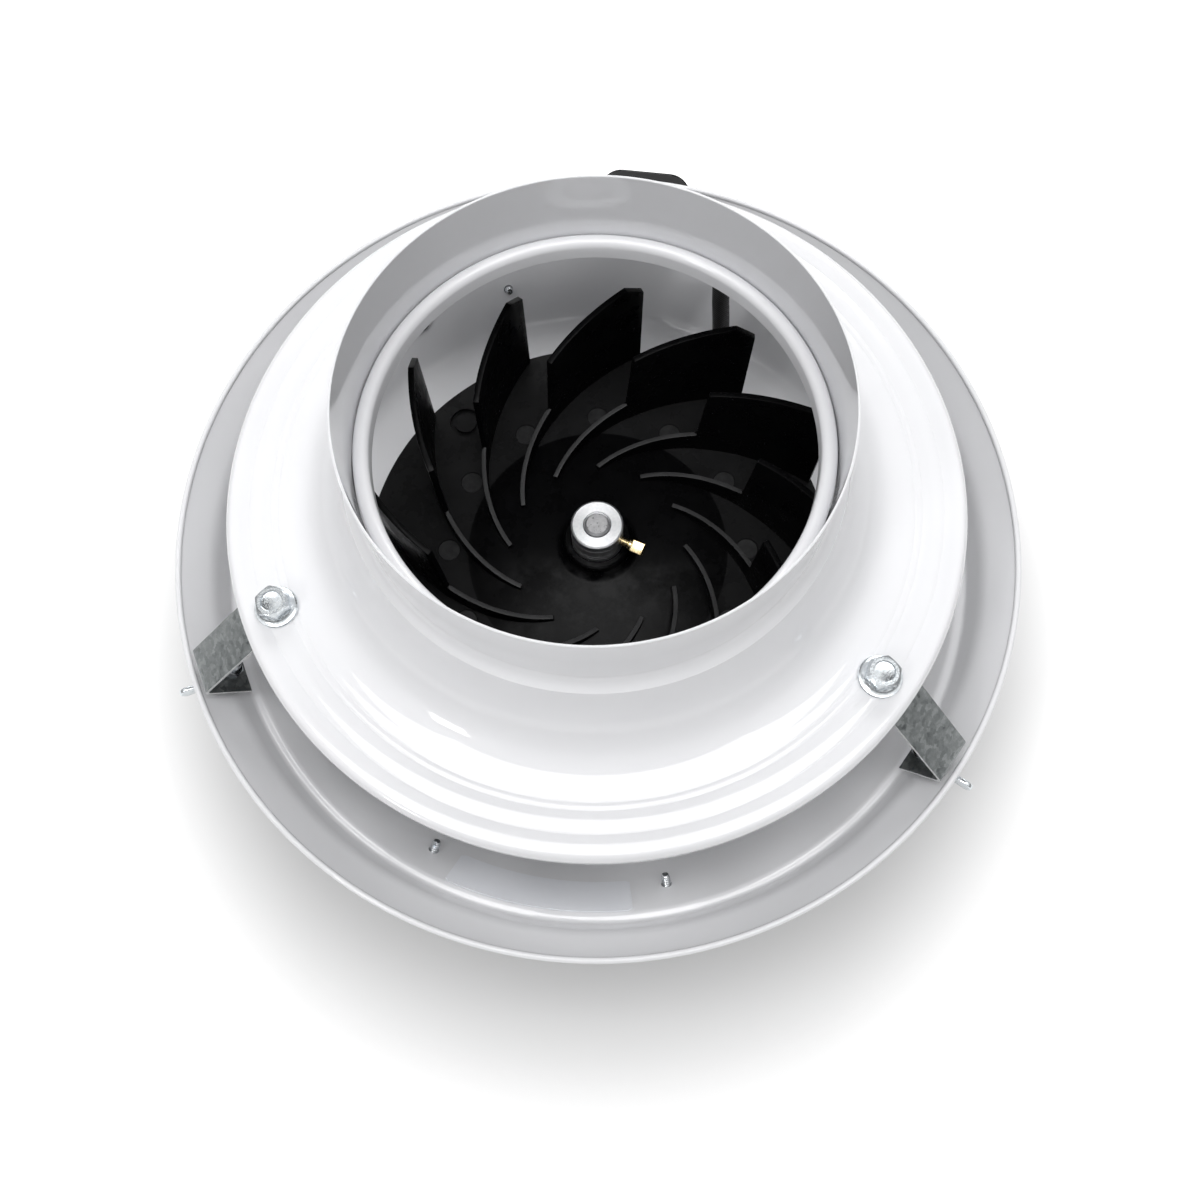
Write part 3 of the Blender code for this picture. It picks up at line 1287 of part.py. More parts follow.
def moved(mesh, frame):
    """A mesh carried to a frame."""
    mesh.transform(frame)
    return mesh


def make_box_inside(plastic, steel):
    """Terminal block, and the screw that holds the box and the back strap."""
    length, width, height = TERMINAL_SIZE
    low = (TERMINAL_ALONG, -width / 3, BOX_BASE + GAP)
    high = (low[0] + length, low[1] + width, low[2] + height)
    block = add("terminal_block", block_mesh("terminal_block", low, high), plastic, box_frame())
    frames = []
    for index in range(TERMINAL_COUNT):
        across = low[1] + width * (index + 0.5) / TERMINAL_COUNT
        frames.append(box_frame() @ Matrix.Translation((low[0] + length / 2, across, high[2])))
    drill(block, TERMINAL_HOLE_RADIUS, frames, -height * 0.6, height)
    seat = BOX_BASE + GAP
    holder = screw_mesh(LEG_SCREW_RADIUS, seat + LEG_SCREW_END, LEG_SCREW_RADIUS * 1.9, LEG_SCREW_RADIUS * 1.2)
    add("box_screw", holder, steel, box_frame() @ Matrix.Translation((0, 0, seat)))


def make_gland(plastic):
    """Cable gland on the side of the box: a body threaded into the wall, and its dome nut."""
    place = box_frame() @ gland_frame()
    thread_top = GLAND_HEX_LENGTH + GLAND_NUT_LENGTH * 0.5
    thread = ring(GLAND_BORE_RADIUS, GLAND_THREAD_RADIUS, -BOX_WALL * 1.6, thread_top)
    collar = add("gland_collar", hex_mesh("gland_collar", GLAND_HEX, GAP, GAP + GLAND_HEX_LENGTH))
    cut(collar, rod_mesh("gland_bore", GLAND_BORE_RADIUS + GAP, -GLAND_HEX, GLAND_HEX, ROUND_FACETS))
    body = united("gland_body", [turned_mesh("gland_thread", thread, ROUND_FACETS), baked(collar)])
    add("gland_body", body, plastic, place)
    start = GAP * 2 + GLAND_HEX_LENGTH
    end = start + GLAND_NUT_LENGTH
    dome = [
        (GLAND_BORE_RADIUS + GAP, end),
        (GLAND_THREAD_RADIUS * 0.85, end),
        (GLAND_HEX / 2, end - GLAND_NUT_LENGTH * 0.35),
        (GLAND_HEX / 2, start),
        (GLAND_THREAD_RADIUS + GAP, start),
        (GLAND_THREAD_RADIUS + GAP, thread_top + GAP),
        (GLAND_BORE_RADIUS + GAP, thread_top + GLAND_NUT_LENGTH * 0.25),
    ]
    turned("gland_nut", dome, plastic, ROUND_FACETS, frame=place)


def main():
    start_scene()
    white = finish("white_powder_coat", (0.83, 0.83, 0.84), 0.32)
    galvanised = finish("galvanised_steel", (0.46, 0.48, 0.49), 0.42, 0.9)
    zinc = finish("zinc_plate", (0.75, 0.76, 0.78), 0.25, 1.0)
    steel = finish("bright_steel", (0.60, 0.60, 0.60), 0.30, 1.0)
    brass = finish("brass", (0.80, 0.62, 0.30), 0.25, 1.0)
    black = finish("black_plastic", (0.012, 0.012, 0.013), 0.35)
    rubber = finish("black_rubber", (0.02, 0.02, 0.02), 0.7)
    aluminium = finish("cast_aluminium", (0.55, 0.55, 0.56), 0.45, 1.0)
    laminations = finish("laminations", (0.20, 0.20, 0.21), 0.5, 0.8)
    copper = finish("copper_wire", (0.72, 0.36, 0.20), 0.35, 1.0)
    paper = finish("blank_label", (0.80, 0.80, 0.81), 0.4)

    make_outer_dish(white)
    make_rear_cap(white)
    make_cap_screws(zinc)
    make_inlet_cone(white)
    make_inlet_ring(white)
    make_flange_bolts(zinc)
    make_flange_nuts(zinc)
    for name, azimuth in zip(BRACKET_NAMES, bracket_azimuths()):
        make_strap("strap_bracket_" + name, azimuth, galvanised)
        if name != "back":
            make_wing_screw("wing_screw_" + name, azimuth, zinc)
    make_strap_pads(rubber)
    make_strap_nuts(zinc)
    make_impeller(black)
    make_hub_collar(zinc)
    make_set_screw(brass)
    make_motor_shaft(steel)
    make_rotor(laminations)
    make_stator(laminations, copper)
    make_motor_bells(aluminium)
    make_motor_bolts(zinc)
    make_bearings(steel)
    make_motor_plate(galvanised)
    make_plate_screws(zinc)
    make_capacitor(aluminium, zinc)
    make_motor_cable(black)
    make_grommets(rubber)
    make_wall_plug(black)
    make_rating_label(paper)
    make_junction_box(black)
    make_box_lid(black, rubber, zinc)
    make_box_inside(paper, zinc)
    make_gland(black)


main()
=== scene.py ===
# %% [markdown]
# # An exhaust fan, dressed in Blender
# A radial fan hangs on the end of a round duct. Air comes down the white spigot, a black wheel with twelve
# blades throws it sideways, and it leaves through the gap between the flange and the big dish.
# The CAD model already has the sizes and the joints. This lesson loads it as a fixed frame and builds finer
# skins round it: spun sheet with rolled edges, a moulded wheel, plated bolts. Every skin follows a CAD body.

# %% Load the frame
import math

import bmesh
import bpy
from mathutils import Matrix, Vector


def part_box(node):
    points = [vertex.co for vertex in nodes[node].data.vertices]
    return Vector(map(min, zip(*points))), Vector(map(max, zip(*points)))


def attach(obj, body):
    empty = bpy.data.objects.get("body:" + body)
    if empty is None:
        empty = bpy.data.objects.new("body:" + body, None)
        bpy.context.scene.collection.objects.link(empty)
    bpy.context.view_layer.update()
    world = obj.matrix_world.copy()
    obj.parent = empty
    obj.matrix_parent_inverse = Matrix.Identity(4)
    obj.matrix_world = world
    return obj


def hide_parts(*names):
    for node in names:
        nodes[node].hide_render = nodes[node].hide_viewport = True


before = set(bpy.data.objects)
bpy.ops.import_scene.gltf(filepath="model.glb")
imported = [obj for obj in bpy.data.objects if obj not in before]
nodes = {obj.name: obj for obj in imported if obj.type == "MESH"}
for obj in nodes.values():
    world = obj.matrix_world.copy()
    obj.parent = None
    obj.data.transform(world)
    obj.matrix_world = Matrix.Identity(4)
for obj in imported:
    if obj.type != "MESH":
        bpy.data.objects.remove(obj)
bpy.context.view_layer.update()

# %% [markdown]
# ## The camera
# The photograph looks down into the spigot at about 71 degrees. Its place was worked out from the ellipses of
# the rims. It could be set by hand with a target, but a matrix built from the three view directions repeats
# exactly. A 36 mm sensor keeps the numbers readable, and the frame is square.

# %% Camera
CAMERA_PLACE = Vector((0.00546, -0.20584, 0.60125))
CAMERA_FORWARD = Vector((-0.00794, 0.32722, -0.94492)).normalized()
CAMERA_RIGHT = Vector((0.99996, 0.0, -0.0084))
CAMERA_LENS = 32.556

view = bpy.data.cameras.new("photo_view")
view.sensor_width = 36.0
view.lens = CAMERA_LENS
view.clip_start = 0.01
camera = bpy.data.objects.new("photo_view", view)
bpy.context.scene.collection.objects.link(camera)
camera_up = CAMERA_RIGHT.cross(CAMERA_FORWARD).normalized()
level_right = CAMERA_FORWARD.cross(camera_up)
turned_view = Matrix((level_right, camera_up, -CAMERA_FORWARD)).transposed().to_4x4()
camera.matrix_world = Matrix.Translation(CAMERA_PLACE) @ turned_view
bpy.context.scene.camera = camera
print("camera height", round(CAMERA_PLACE.z, 3), "m, lens", CAMERA_LENS, "mm")

# %% [markdown]
# ## A small kit for finishes
# A painted or plated surface is never one flat colour. Each finish here is a Principled shader, whose colour,
# roughness and bump come from noise in the object's own metres, so a grain of 1 mm stays 1 mm on every piece.
# Picture textures could do it too, but then every mesh would need unwrapping. Short helpers do the wiring, and
# they work in a material and in the world alike.

# %% Node helpers
def set_input(holder, socket, value):
    """A number or colour goes on a socket; another node's output is linked to it."""
    if isinstance(value, bpy.types.NodeSocket):
        holder.node_tree.links.new(value, socket)
    else:
        socket.default_value = value


def node(holder, kind, **inputs):
    """A node in a material or the world, with its inputs set by name."""
    made = holder.node_tree.nodes.new(kind)
    for name, value in inputs.items():
        set_input(holder, made.inputs[name.replace("_", " ")], value)
    return made


def maths(holder, operation, *values, kind="ShaderNodeMath", result="Value"):
    """The result of a sum, product or other operation on numbers and outputs."""
    made = holder.node_tree.nodes.new(kind)
    made.operation = operation
    for socket, value in zip(made.inputs, values):
        set_input(holder, socket, value)
    return made.outputs[result]


def vector_maths(holder, operation, *values):
    """The same for vectors. A length or a dot product comes out as a number."""
    result = "Value" if operation in ("LENGTH", "DOT_PRODUCT") else "Vector"
    return maths(holder, operation, *values, kind="ShaderNodeVectorMath", result=result)


def fade(holder, value, start, end, top=1.0):
    """Zero before start, top past end, soft between them."""
    made = node(holder, "ShaderNodeMapRange", Value=value, From_Min=start, From_Max=end, To_Max=top)
    made.interpolation_type = "SMOOTHSTEP"
    return made.outputs["Result"]


def place_in(material, stretch=(1, 1, 1)):
    """The point on the surface in the object's own metres, stretched per axis."""
    where = node(material, "ShaderNodeTexCoord").outputs["Object"]
    return node(material, "ShaderNodeMapping", Vector=where, Scale=stretch).outputs["Vector"]


def noise(material, scale, detail=3.0, stretch=(1, 1, 1), rough=0.5):
    """Cloudy noise, from 0 to 1. Scale counts lumps per metre."""
    where = place_in(material, stretch)
    return node(
        material, "ShaderNodeTexNoise", Vector=where, Scale=scale, Detail=detail, Roughness=rough
    ).outputs["Fac"]


def wave(material, scale, distortion, direction, rings=False, detail=2.0):
    """Even waves across bands, or in rings round an axis."""
    made = node(
        material, "ShaderNodeTexWave", Vector=place_in(material), Scale=scale, Distortion=distortion, Detail=detail
    )
    if rings:
        made.wave_type = "RINGS"
        made.rings_direction = direction
    else:
        made.bands_direction = direction
    return made.outputs["Fac"]


def ramp(material, factor, *stops):
    """A ramp with stops of (place, colour); a single number is a grey."""
    made = node(material, "ShaderNodeValToRGB", Fac=factor)
    keys = made.color_ramp.elements
    for index, (at, colour) in enumerate(stops):
        key = keys[index] if index < 2 else keys.new(at)
        key.position = at
        key.color = (colour, colour, colour, 1) if isinstance(colour, float) else (*colour, 1)
    return made.outputs["Color"]


print("node helpers ready")

# %% [markdown]
# A finish starts as even values on the shader's own sockets. Then `mottle` lets noise drive one of them
# between two values, and `bump` adds relief.

# %% Finish helpers
def shader_socket(material, socket):
    """A socket of the material's Principled shader."""
    return material.node_tree.nodes["Principled BSDF"].inputs[socket]


def new_finish(name, colour, roughness, metallic=0.0, **others):
    """A material with a Principled shader; even values go straight on its sockets."""
    material = bpy.data.materials.new(name)
    material.use_nodes = True
    even = {"Base Color": (*colour, 1), "Roughness": roughness, "Metallic": metallic, "Coat Roughness": 0.1}
    even |= {socket.replace("_", " "): value for socket, value in others.items()}
    for socket, value in even.items():
        shader_socket(material, socket).default_value = value
    return material


def feed(material, output, socket):
    """Join an output to the Principled shader."""
    set_input(material, shader_socket(material, socket), output)


def mottle(material, socket, scale, detail, low, high, stops=(0.3, 0.7), **grain):
    """Noise drives a socket between a low and a high colour or number."""
    clouds = noise(material, scale, detail, **grain)
    feed(material, ramp(material, clouds, (stops[0], low), (stops[1], high)), socket)


def bump(material, height, depth, strength=1.0):
    """Relief from a height, depth in metres."""
    made = node(material, "ShaderNodeBump", Height=height, Distance=depth, Strength=strength)
    feed(material, made.outputs["Normal"], "Normal")


print("finish helpers ready")

# %% [markdown]
# ## White powder coat
# The sheet parts are sprayed with dry powder and baked. The film is glossy with a faint orange peel of about
# 2 mm, and a hair cooler than neutral. A clear coat over a softer base gives the small sharp window lights
# on the flare and still keeps the wide soft sheen.

# %% White coat
white = new_finish("white_powder_coat", (0.83, 0.833, 0.853), 0.5, Coat_Weight=1.0, Coat_Roughness=0.04)
mottle(white, "Base Color", 16, 4.0, (0.818, 0.821, 0.841), (0.842, 0.845, 0.864))
mottle(white, "Roughness", 60, 3.0, 0.46, 0.56)
bump(white, noise(white, 420, 2.0), 0.00004, 0.35)
print("white coat ready")

# %% [markdown]
# ## Galvanised strap
# Hot-dipped zinc freezes in crystals, so the strap shows dull grey flakes some millimetres wide, each with its
# own tone, and a few dark pits. Voronoi cells are made for this: the cell colour sets tone and roughness, and
# noise bends the borders so that they aren't straight.

# %% Galvanised steel
FLAKES_PER_METRE = 420
BORDER_BEND = 0.004
FLAKE_SHARE = 0.45

galvanised = new_finish("galvanised_steel", (0.42, 0.45, 0.45), 0.42, 0.85)
straight = place_in(galvanised)
wobble = node(galvanised, "ShaderNodeTexNoise", Vector=straight, Scale=300, Detail=2.0).outputs["Color"]
bent = vector_maths(galvanised, "ADD", straight, vector_maths(galvanised, "MULTIPLY", wobble, (BORDER_BEND,) * 3))
flakes = node(galvanised, "ShaderNodeTexVoronoi", Vector=bent, Scale=FLAKES_PER_METRE).outputs["Color"]
flake_tone = node(galvanised, "ShaderNodeSeparateColor", Color=flakes).outputs["Red"]
tone = maths(galvanised, "MULTIPLY_ADD", flake_tone, FLAKE_SHARE, noise(galvanised, 260, 6.0, rough=0.7))
zinc_tone = ramp(
    galvanised,
    tone,
    (0.36, (0.100, 0.109, 0.111)),
    (0.50, (0.185, 0.200, 0.202)),
    (0.75, (0.250, 0.266, 0.267)),
    (0.98, (0.340, 0.358, 0.359)),
)
feed(galvanised, zinc_tone, "Base Color")
feed(galvanised, ramp(galvanised, flake_tone, (0.0, 0.34), (1.0, 0.52)), "Roughness")
bump(galvanised, tone, 0.00006, 0.5)
print("galvanised steel ready")

# %% [markdown]
# Shears leave the long edges of the strip bare and bright, so those faces get a plain sheared steel. Only the edges
# above the rim get it. The leg's edges keep the darker galvanised finish as painted shade, because the leg lies in
# shade.

# %% Sheared edge
cut_steel = new_finish("sheared_edge", (0.66, 0.67, 0.67), 0.5, 0.4)
mottle(cut_steel, "Base Color", 900, 3.0, (0.56, 0.57, 0.57), (0.76, 0.77, 0.77))
print("sheared edge ready")

# %% [markdown]
# ## Bright zinc plate
# Bolts and nuts are electroplated: a thin mirror with a cold blue tint and tiny marks from tumbling in a
# barrel. Low roughness with fine noise on top does it. The small screws are older stock and a shade duller.

# %% Zinc plate
zinc = new_finish("zinc_plate", (0.74, 0.78, 0.81), 0.2, 1.0)
mottle(zinc, "Base Color", 700, 5.0, (0.62, 0.66, 0.69), (0.80, 0.83, 0.85))
mottle(zinc, "Roughness", 1600, 3.0, 0.17, 0.30)
bump(zinc, noise(zinc, 900, 2.0), 0.00005, 0.38)

tip_zinc = new_finish("screw_zinc", (0.60, 0.62, 0.64), 0.22, 1.0)
mottle(tip_zinc, "Base Color", 900, 4.0, (0.48, 0.50, 0.52), (0.70, 0.72, 0.74))
print("zinc plate ready")

# %% [markdown]
# ## Shaft, collar and set screw
# The shaft is ground, which leaves fine marks round it: noise that is squeezed along the axis. The collar is
# turned, so its top shows the rings of the lathe. The set screw is brass.

# %% Ground and turned metals
ROUND_THE_AXIS = (1, 1, 14)

ground = new_finish("ground_steel", (0.76, 0.76, 0.77), 0.3, 1.0)
mottle(ground, "Base Color", 500, 2.0, (0.68, 0.68, 0.69), (0.84, 0.84, 0.85), stretch=ROUND_THE_AXIS)
mottle(ground, "Roughness", 1400, 2.0, 0.26, 0.40, stretch=ROUND_THE_AXIS)
bump(ground, noise(ground, 1400, 2.0, ROUND_THE_AXIS), 0.00002, 0.3)

turned = new_finish("turned_zinc", (0.86, 0.87, 0.88), 0.4, 1.0)
mottle(turned, "Base Color", 900, 3.0, (0.80, 0.815, 0.83), (0.90, 0.905, 0.91))
bump(turned, wave(turned, 900, 0.4, "Z", rings=True), 0.00003, 0.8)

brass = new_finish("turned_brass", (0.83, 0.66, 0.36), 0.22, 1.0)
mottle(brass, "Base Color", 600, 4.0, (0.74, 0.57, 0.29), (0.90, 0.75, 0.46))
mottle(brass, "Roughness", 1500, 2.0, 0.18, 0.32)
print("ground, turned and brass metals ready")

# %% [markdown]
# ## Inside the motor
# Cast housings are rough and grey. Core and rotor are stacks of thin sheets, and the windings are enamelled
# wire, so a wave texture draws the sheets and the turns.

# %% Cast metal, laminations and copper
cast = new_finish("cast_aluminium", (0.55, 0.55, 0.56), 0.45, 1.0)
mottle(cast, "Base Color", 120, 5.0, (0.48, 0.48, 0.49), (0.61, 0.61, 0.62))
bump(cast, noise(cast, 900, 5.0), 0.0001, 0.6)

laminations = new_finish("laminated_steel", (0.20, 0.20, 0.21), 0.5, 0.8)
sheets = wave(laminations, 320, 0.3, "Z")
feed(laminations, ramp(laminations, sheets, (0.2, 0.10), (0.8, 0.30)), "Base Color")
bump(laminations, sheets, 0.0002, 0.5)

copper = new_finish("enamelled_copper", (0.72, 0.34, 0.18), 0.3, 1.0, Coat_Weight=0.5)
turns = wave(copper, 260, 2.0, "DIAGONAL")
feed(copper, ramp(copper, turns, (0.2, (0.45, 0.18, 0.09)), (0.8, (0.78, 0.40, 0.22))), "Base Color")
bump(copper, turns, 0.0003, 0.6)
print("motor metals ready")

# %% [markdown]
# ## Black plastics, rubber and label
# The junction box is matt black plastic that mirrors next to nothing. Rubber is a little greyer and dull. The
# cable's sleeve is woven, so a fine diagonal wave gives the threads. The label is a pale, cool film.

# %% Plastics, rubber, sleeve and label
rubber = new_finish("black_rubber", (0.022, 0.022, 0.023), 0.66)
mottle(rubber, "Base Color", 220, 4.0, (0.015, 0.015, 0.016), (0.034, 0.034, 0.035))
bump(rubber, noise(rubber, 1800, 3.0), 0.00008, 0.5)

sleeve = new_finish("woven_sleeve", (0.016, 0.016, 0.017), 0.5)
weave = wave(sleeve, 420, 1.2, "DIAGONAL", detail=1.0)
feed(sleeve, ramp(sleeve, weave, (0.2, 0.006), (0.8, 0.034)), "Base Color")
bump(sleeve, weave, 0.0003, 0.6)

film = new_finish("label_film", (0.82, 0.835, 0.875), 0.3)
mottle(film, "Base Color", 45, 4.0, (0.80, 0.815, 0.858), (0.84, 0.855, 0.892))
mottle(film, "Roughness", 60, 3.0, 0.42, 0.54)
bump(film, noise(film, 180, 2.0), 0.00003, 0.15)

box_black = new_finish("box_moulding", (0.010, 0.010, 0.011), 0.5, Specular_IOR_Level=0.012)
mottle(box_black, "Base Color", 200, 4.0, (0.003, 0.003, 0.0034), (0.006, 0.006, 0.0065))
bump(box_black, noise(box_black, 1600, 3.0), 0.00006, 0.4)

pale = new_finish("pale_moulding", (0.72, 0.71, 0.67), 0.45)
mottle(pale, "Base Color", 150, 3.0, (0.68, 0.67, 0.63), (0.75, 0.74, 0.70))
print("finishes so far:", len(bpy.data.materials))

# %% [markdown]
# ## Paint the parts that keep their CAD shape
# Some pieces sit inside the motor or the box, where no view reaches. Their CAD shape is right as it is, so
# they only get a finish. Anything that shows is rebuilt further down with rounder edges.

# %% Finish the inner parts
KEPT = {
    laminations: ("motor_rotor", "stator_core"),
    copper: ("stator_windings",),
    cast: ("motor_front_bell", "motor_rear_bell", "run_capacitor"),
    zinc: ("motor_bolt_1", "motor_bolt_2", "motor_bolt_3", "capacitor_nut", "box_screw"),
    ground: ("front_bearing", "rear_bearing"),
    rubber: ("cable_bushing", "box_gasket"),
    pale: ("terminal_block",),
}
for material, names in KEPT.items():
    for name in names:
        nodes[name].data.materials.clear()
        nodes[name].data.materials.append(material)
print("kept CAD shapes:", sum(len(names) for names in KEPT.values()))

# %% [markdown]
# ## Tools for spun sheet
# Dish, cone, ring and cap are spun: a flat disc is pressed over a turning former. So their shape is one line,
# turned about the axis. A Screw modifier could turn it, but a short function that lays rings of points keeps
# the faces even and closes the poles neatly. The line is drawn first as the middle of the sheet. Then it is
# moved out by half the gauge to both sides, with a half circle at each cut edge, as a dressed edge has.

# %% Profile helpers
TURN = 192


def arc(centre, radius, start, end, count):
    """Points of an arc in a radial plane, angles in degrees from outwards towards up."""
    angles = [math.radians(start + (end - start) * step / count) for step in range(count + 1)]
    return [(centre[0] + radius * math.cos(a), centre[1] + radius * math.sin(a)) for a in angles]


def curve_between(start, pull, end, count):
    """A quadratic curve from start to end that leans towards pull."""
    points = []
    for step in range(count + 1):
        t = step / count
        weights = ((1 - t) ** 2, 2 * t * (1 - t), t * t)
        points.append(tuple(sum(w * p[axis] for w, p in zip(weights, (start, pull, end))) for axis in (0, 1)))
    return points


def toward(start, end, distance):
    """The point at a distance from start on the way to end."""
    share = distance / math.dist(start, end)
    return tuple(a + (b - a) * share for a, b in zip(start, end))


def rounded(corners, cuts, count=6):
    """A path through corners, each inner one replaced by a curve that starts its cut before the corner."""
    path = [corners[0]]
    for before, corner, after, cut in zip(corners, corners[1:], corners[2:], cuts):
        if cut:
            path += curve_between(toward(corner, before, cut), corner, toward(corner, after, cut), count)
        else:
            path.append(corner)
    return path + [corners[-1]]


def offset(path, distance):
    """The path moved sideways to its left, with mitred corners."""
    moved = []
    for index, point in enumerate(path):
        sides = []
        for start, end in ((path[max(index - 1, 0)], point), (point, path[min(index + 1, len(path) - 1)])):
            if start != end:
                length = math.dist(start, end)
                sides.append(Vector(((start[1] - end[1]) / length, (end[0] - start[0]) / length)))
        middle = sum(sides, Vector((0, 0))).normalized()
        reach = distance / middle.dot(sides[0])
        moved.append((point[0] + middle.x * reach, point[1] + middle.y * reach))
    return moved


def edge_round(end, before, gauge):
    """Points of the half circle that dresses the cut edge of a sheet."""
    along = Vector((end[0] - before[0], end[1] - before[1])).normalized()
    across = Vector((-along.y, along.x))
    points = []
    for angle in (60, 20, -20, -60):
        turn = math.radians(angle)
        shift = (across * math.sin(turn) + along * (math.cos(turn) - 1)) * gauge / 2
        points.append((end[0] + shift.x, end[1] + shift.y))
    return points


def sheet_outline(path, gauge, round_start=True, round_end=True):
    """Closed outline of a sheet along a path, with dressed edges."""
    back = gauge * 0.5
    if round_start:
        path = [toward(path[0], path[1], back * 0.5)] + path[1:]
    if round_end:
        path = path[:-1] + [toward(path[-1], path[-2], back * 0.5)]
    left, right = offset(path, gauge / 2), offset(path, -gauge / 2)
    outline = list(left)
    if round_end:
        outline += edge_round(toward(path[-1], path[-2], -back * 0.5), path[-2], gauge)
    outline += right[::-1]
    if round_start:
        outline += edge_round(toward(path[0], path[1], -back * 0.5), path[1], gauge)
    return outline


def tidied(mesh, angle=32):
    """Normals outwards, smooth shading, and sharp edges only where faces really turn."""
    shape = bmesh.new()
    shape.from_mesh(mesh)
    bmesh.ops.remove_doubles(shape, verts=shape.verts, dist=0.000002)
    bmesh.ops.recalc_face_normals(shape, faces=shape.faces)
    shape.to_mesh(mesh)
    shape.free()
    mesh.shade_smooth()
    mesh.set_sharp_from_angle(angle=math.radians(angle))
    return mesh


def turned_mesh(name, outline, facets=TURN, closed=True, angle=32):
    """A solid of revolution about Z. An open outline starts and ends on the axis."""
    spokes = [2 * math.pi * step / facets for step in range(facets)]
    points, rings = [], []
    for radius, level in outline:
        if radius < 1e-6:
            rings.append([len(points)] * facets)
            points.append((0, 0, level))
        else:
            rings.append(list(range(len(points), len(points) + facets)))
            points += [(radius * math.cos(a), radius * math.sin(a), level) for a in spokes]
    faces = []
    for upper, lower in zip(rings, rings[1:] + (rings[:1] if closed else [])):
        for a in range(facets):
            b = (a + 1) % facets
            faces.append(list(dict.fromkeys((upper[a], upper[b], lower[b], lower[a]))))
    mesh = bpy.data.meshes.new(name)
    mesh.from_pydata(points, [], faces)
    return tidied(mesh, angle)


print("a quarter turn in two steps:", [(round(x, 3), round(y, 3)) for x, y in arc((0, 0), 1, 0, 90, 2)])

# %% [markdown]
# ## Tools for joining and cutting
# Holes and hex heads come from exact Booleans between closed solids, as in the workshop: drill, mill, weld.
# The tool objects are thrown away at once, so only the finished mesh stays. `show` links a finished mesh to
# its body, gives it its finish, and hides the CAD nodes it stands for.

# %% Solid helpers
def evaluated(item):
    """The final mesh of a scratch object, which is then removed."""
    bpy.context.view_layer.update()
    graph = bpy.context.evaluated_depsgraph_get()
    mesh = bpy.data.meshes.new_from_object(item.evaluated_get(graph))
    bpy.data.objects.remove(item)
    return mesh


def scratch(mesh):
    """A helper object that is never rendered."""
    item = bpy.data.objects.new("scratch", mesh)
    bpy.context.scene.collection.objects.link(item)
    item.hide_render = True
    return item


def solid(operation, base, *tools, angle=32):
    """UNION, DIFFERENCE or INTERSECT of a mesh with others, all in one frame."""
    item = scratch(base)
    helpers = [scratch(tool) for tool in tools]
    for helper in helpers:
        step = item.modifiers.new("solid", "BOOLEAN")
        step.operation = operation
        step.solver = "EXACT"
        step.object = helper
    mesh = evaluated(item)
    for helper in helpers:
        bpy.data.objects.remove(helper)
    return tidied(mesh, angle)


def bevelled(mesh, width, steps=2, limit=30):
    """Edges broken by a small round, which is what catches the light."""
    item = scratch(mesh)
    edge = item.modifiers.new("edge", "BEVEL")
    edge.width = width
    edge.segments = steps
    edge.limit_method = "ANGLE"
    edge.angle_limit = math.radians(limit)
    edge.use_clamp_overlap = True
    return tidied(evaluated(item))


def moved(mesh, place):
    """A copy of a mesh in another frame."""
    copy = mesh.copy()
    copy.transform(place)
    return copy


def gathered(name, mesh, places):
    """Copies of one mesh at several places, as one mesh."""
    shape = bmesh.new()
    for place in places:
        copy = moved(mesh, place)
        shape.from_mesh(copy)
        bpy.data.meshes.remove(copy)
    whole = bpy.data.meshes.new(name)
    shape.to_mesh(whole)
    shape.free()
    return tidied(whole)


def rod(radius, bottom, top, facets=48):
    """A closed cylinder or prism along Z."""
    return turned_mesh("rod", [(0, top), (radius, top), (radius, bottom), (0, bottom)], facets, closed=False)


def prism(outline, low, high, place=None):
    """A flat outline in the XY plane made into a solid from low to high along Z."""
    count = len(outline)
    points = [(x, y, low) for x, y in outline] + [(x, y, high) for x, y in outline]
    faces = [list(range(count))[::-1], list(range(count, 2 * count))]
    faces += [(i, (i + 1) % count, (i + 1) % count + count, i + count) for i in range(count)]
    mesh = bpy.data.meshes.new("prism")
    mesh.from_pydata(points, [], faces)
    if place:
        mesh.transform(place)
    return tidied(mesh)


def show(name, mesh, material, slot, body, *stands_for, place=None):
    """A finished piece, riding on its body in place of its CAD nodes."""
    piece = bpy.data.objects.new(name, mesh)
    bpy.context.scene.collection.objects.link(piece)
    mesh.materials.clear()
    mesh.materials.append(material)
    if place:
        piece.matrix_world = place
    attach(piece, body)
    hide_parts(*stands_for)
    print(name, len(mesh.polygons), "faces")
    return piece


print("a test rod has", len(rod(0.01, 0, 0.02).polygons), "faces")

# %% [markdown]
# ## Places on the dish
# Straps, screws, plug, label and box all sit on the sloping wall of the dish. A frame there has X down the
# wall, Z straight out through the sheet, and its zero at a distance from the rim bead or from the step.
# The azimuths repeat those of the CAD model, counted from +X towards +Y.

# %% Frames on the walls
SHEET = 0.0010
GAP = 0.0003
DISH_RIM_RADIUS = 0.2012
RIM_BEAD_RADIUS = 0.0014
RIM_LEVEL = 0.1220
FLOOR_LEVEL = 0.0600
FLANGE_LEVEL = 0.1640
WALL_SLOPE = math.radians(50.3)
STEP_POINT = (0.1800, 0.0928)
FLOOR_CORNER = (0.1530, 0.0600)
STRAP_SCREW_DISTANCE = 0.0130
STRAPS = {"back": 83.0, "left": 203.0, "right": 323.0}


def upright(azimuth, distance, level):
    """A frame at a distance from the axis whose X points outwards and whose Z points up."""
    return Matrix.Rotation(math.radians(azimuth), 4, "Z") @ Matrix.Translation((distance, 0, level))


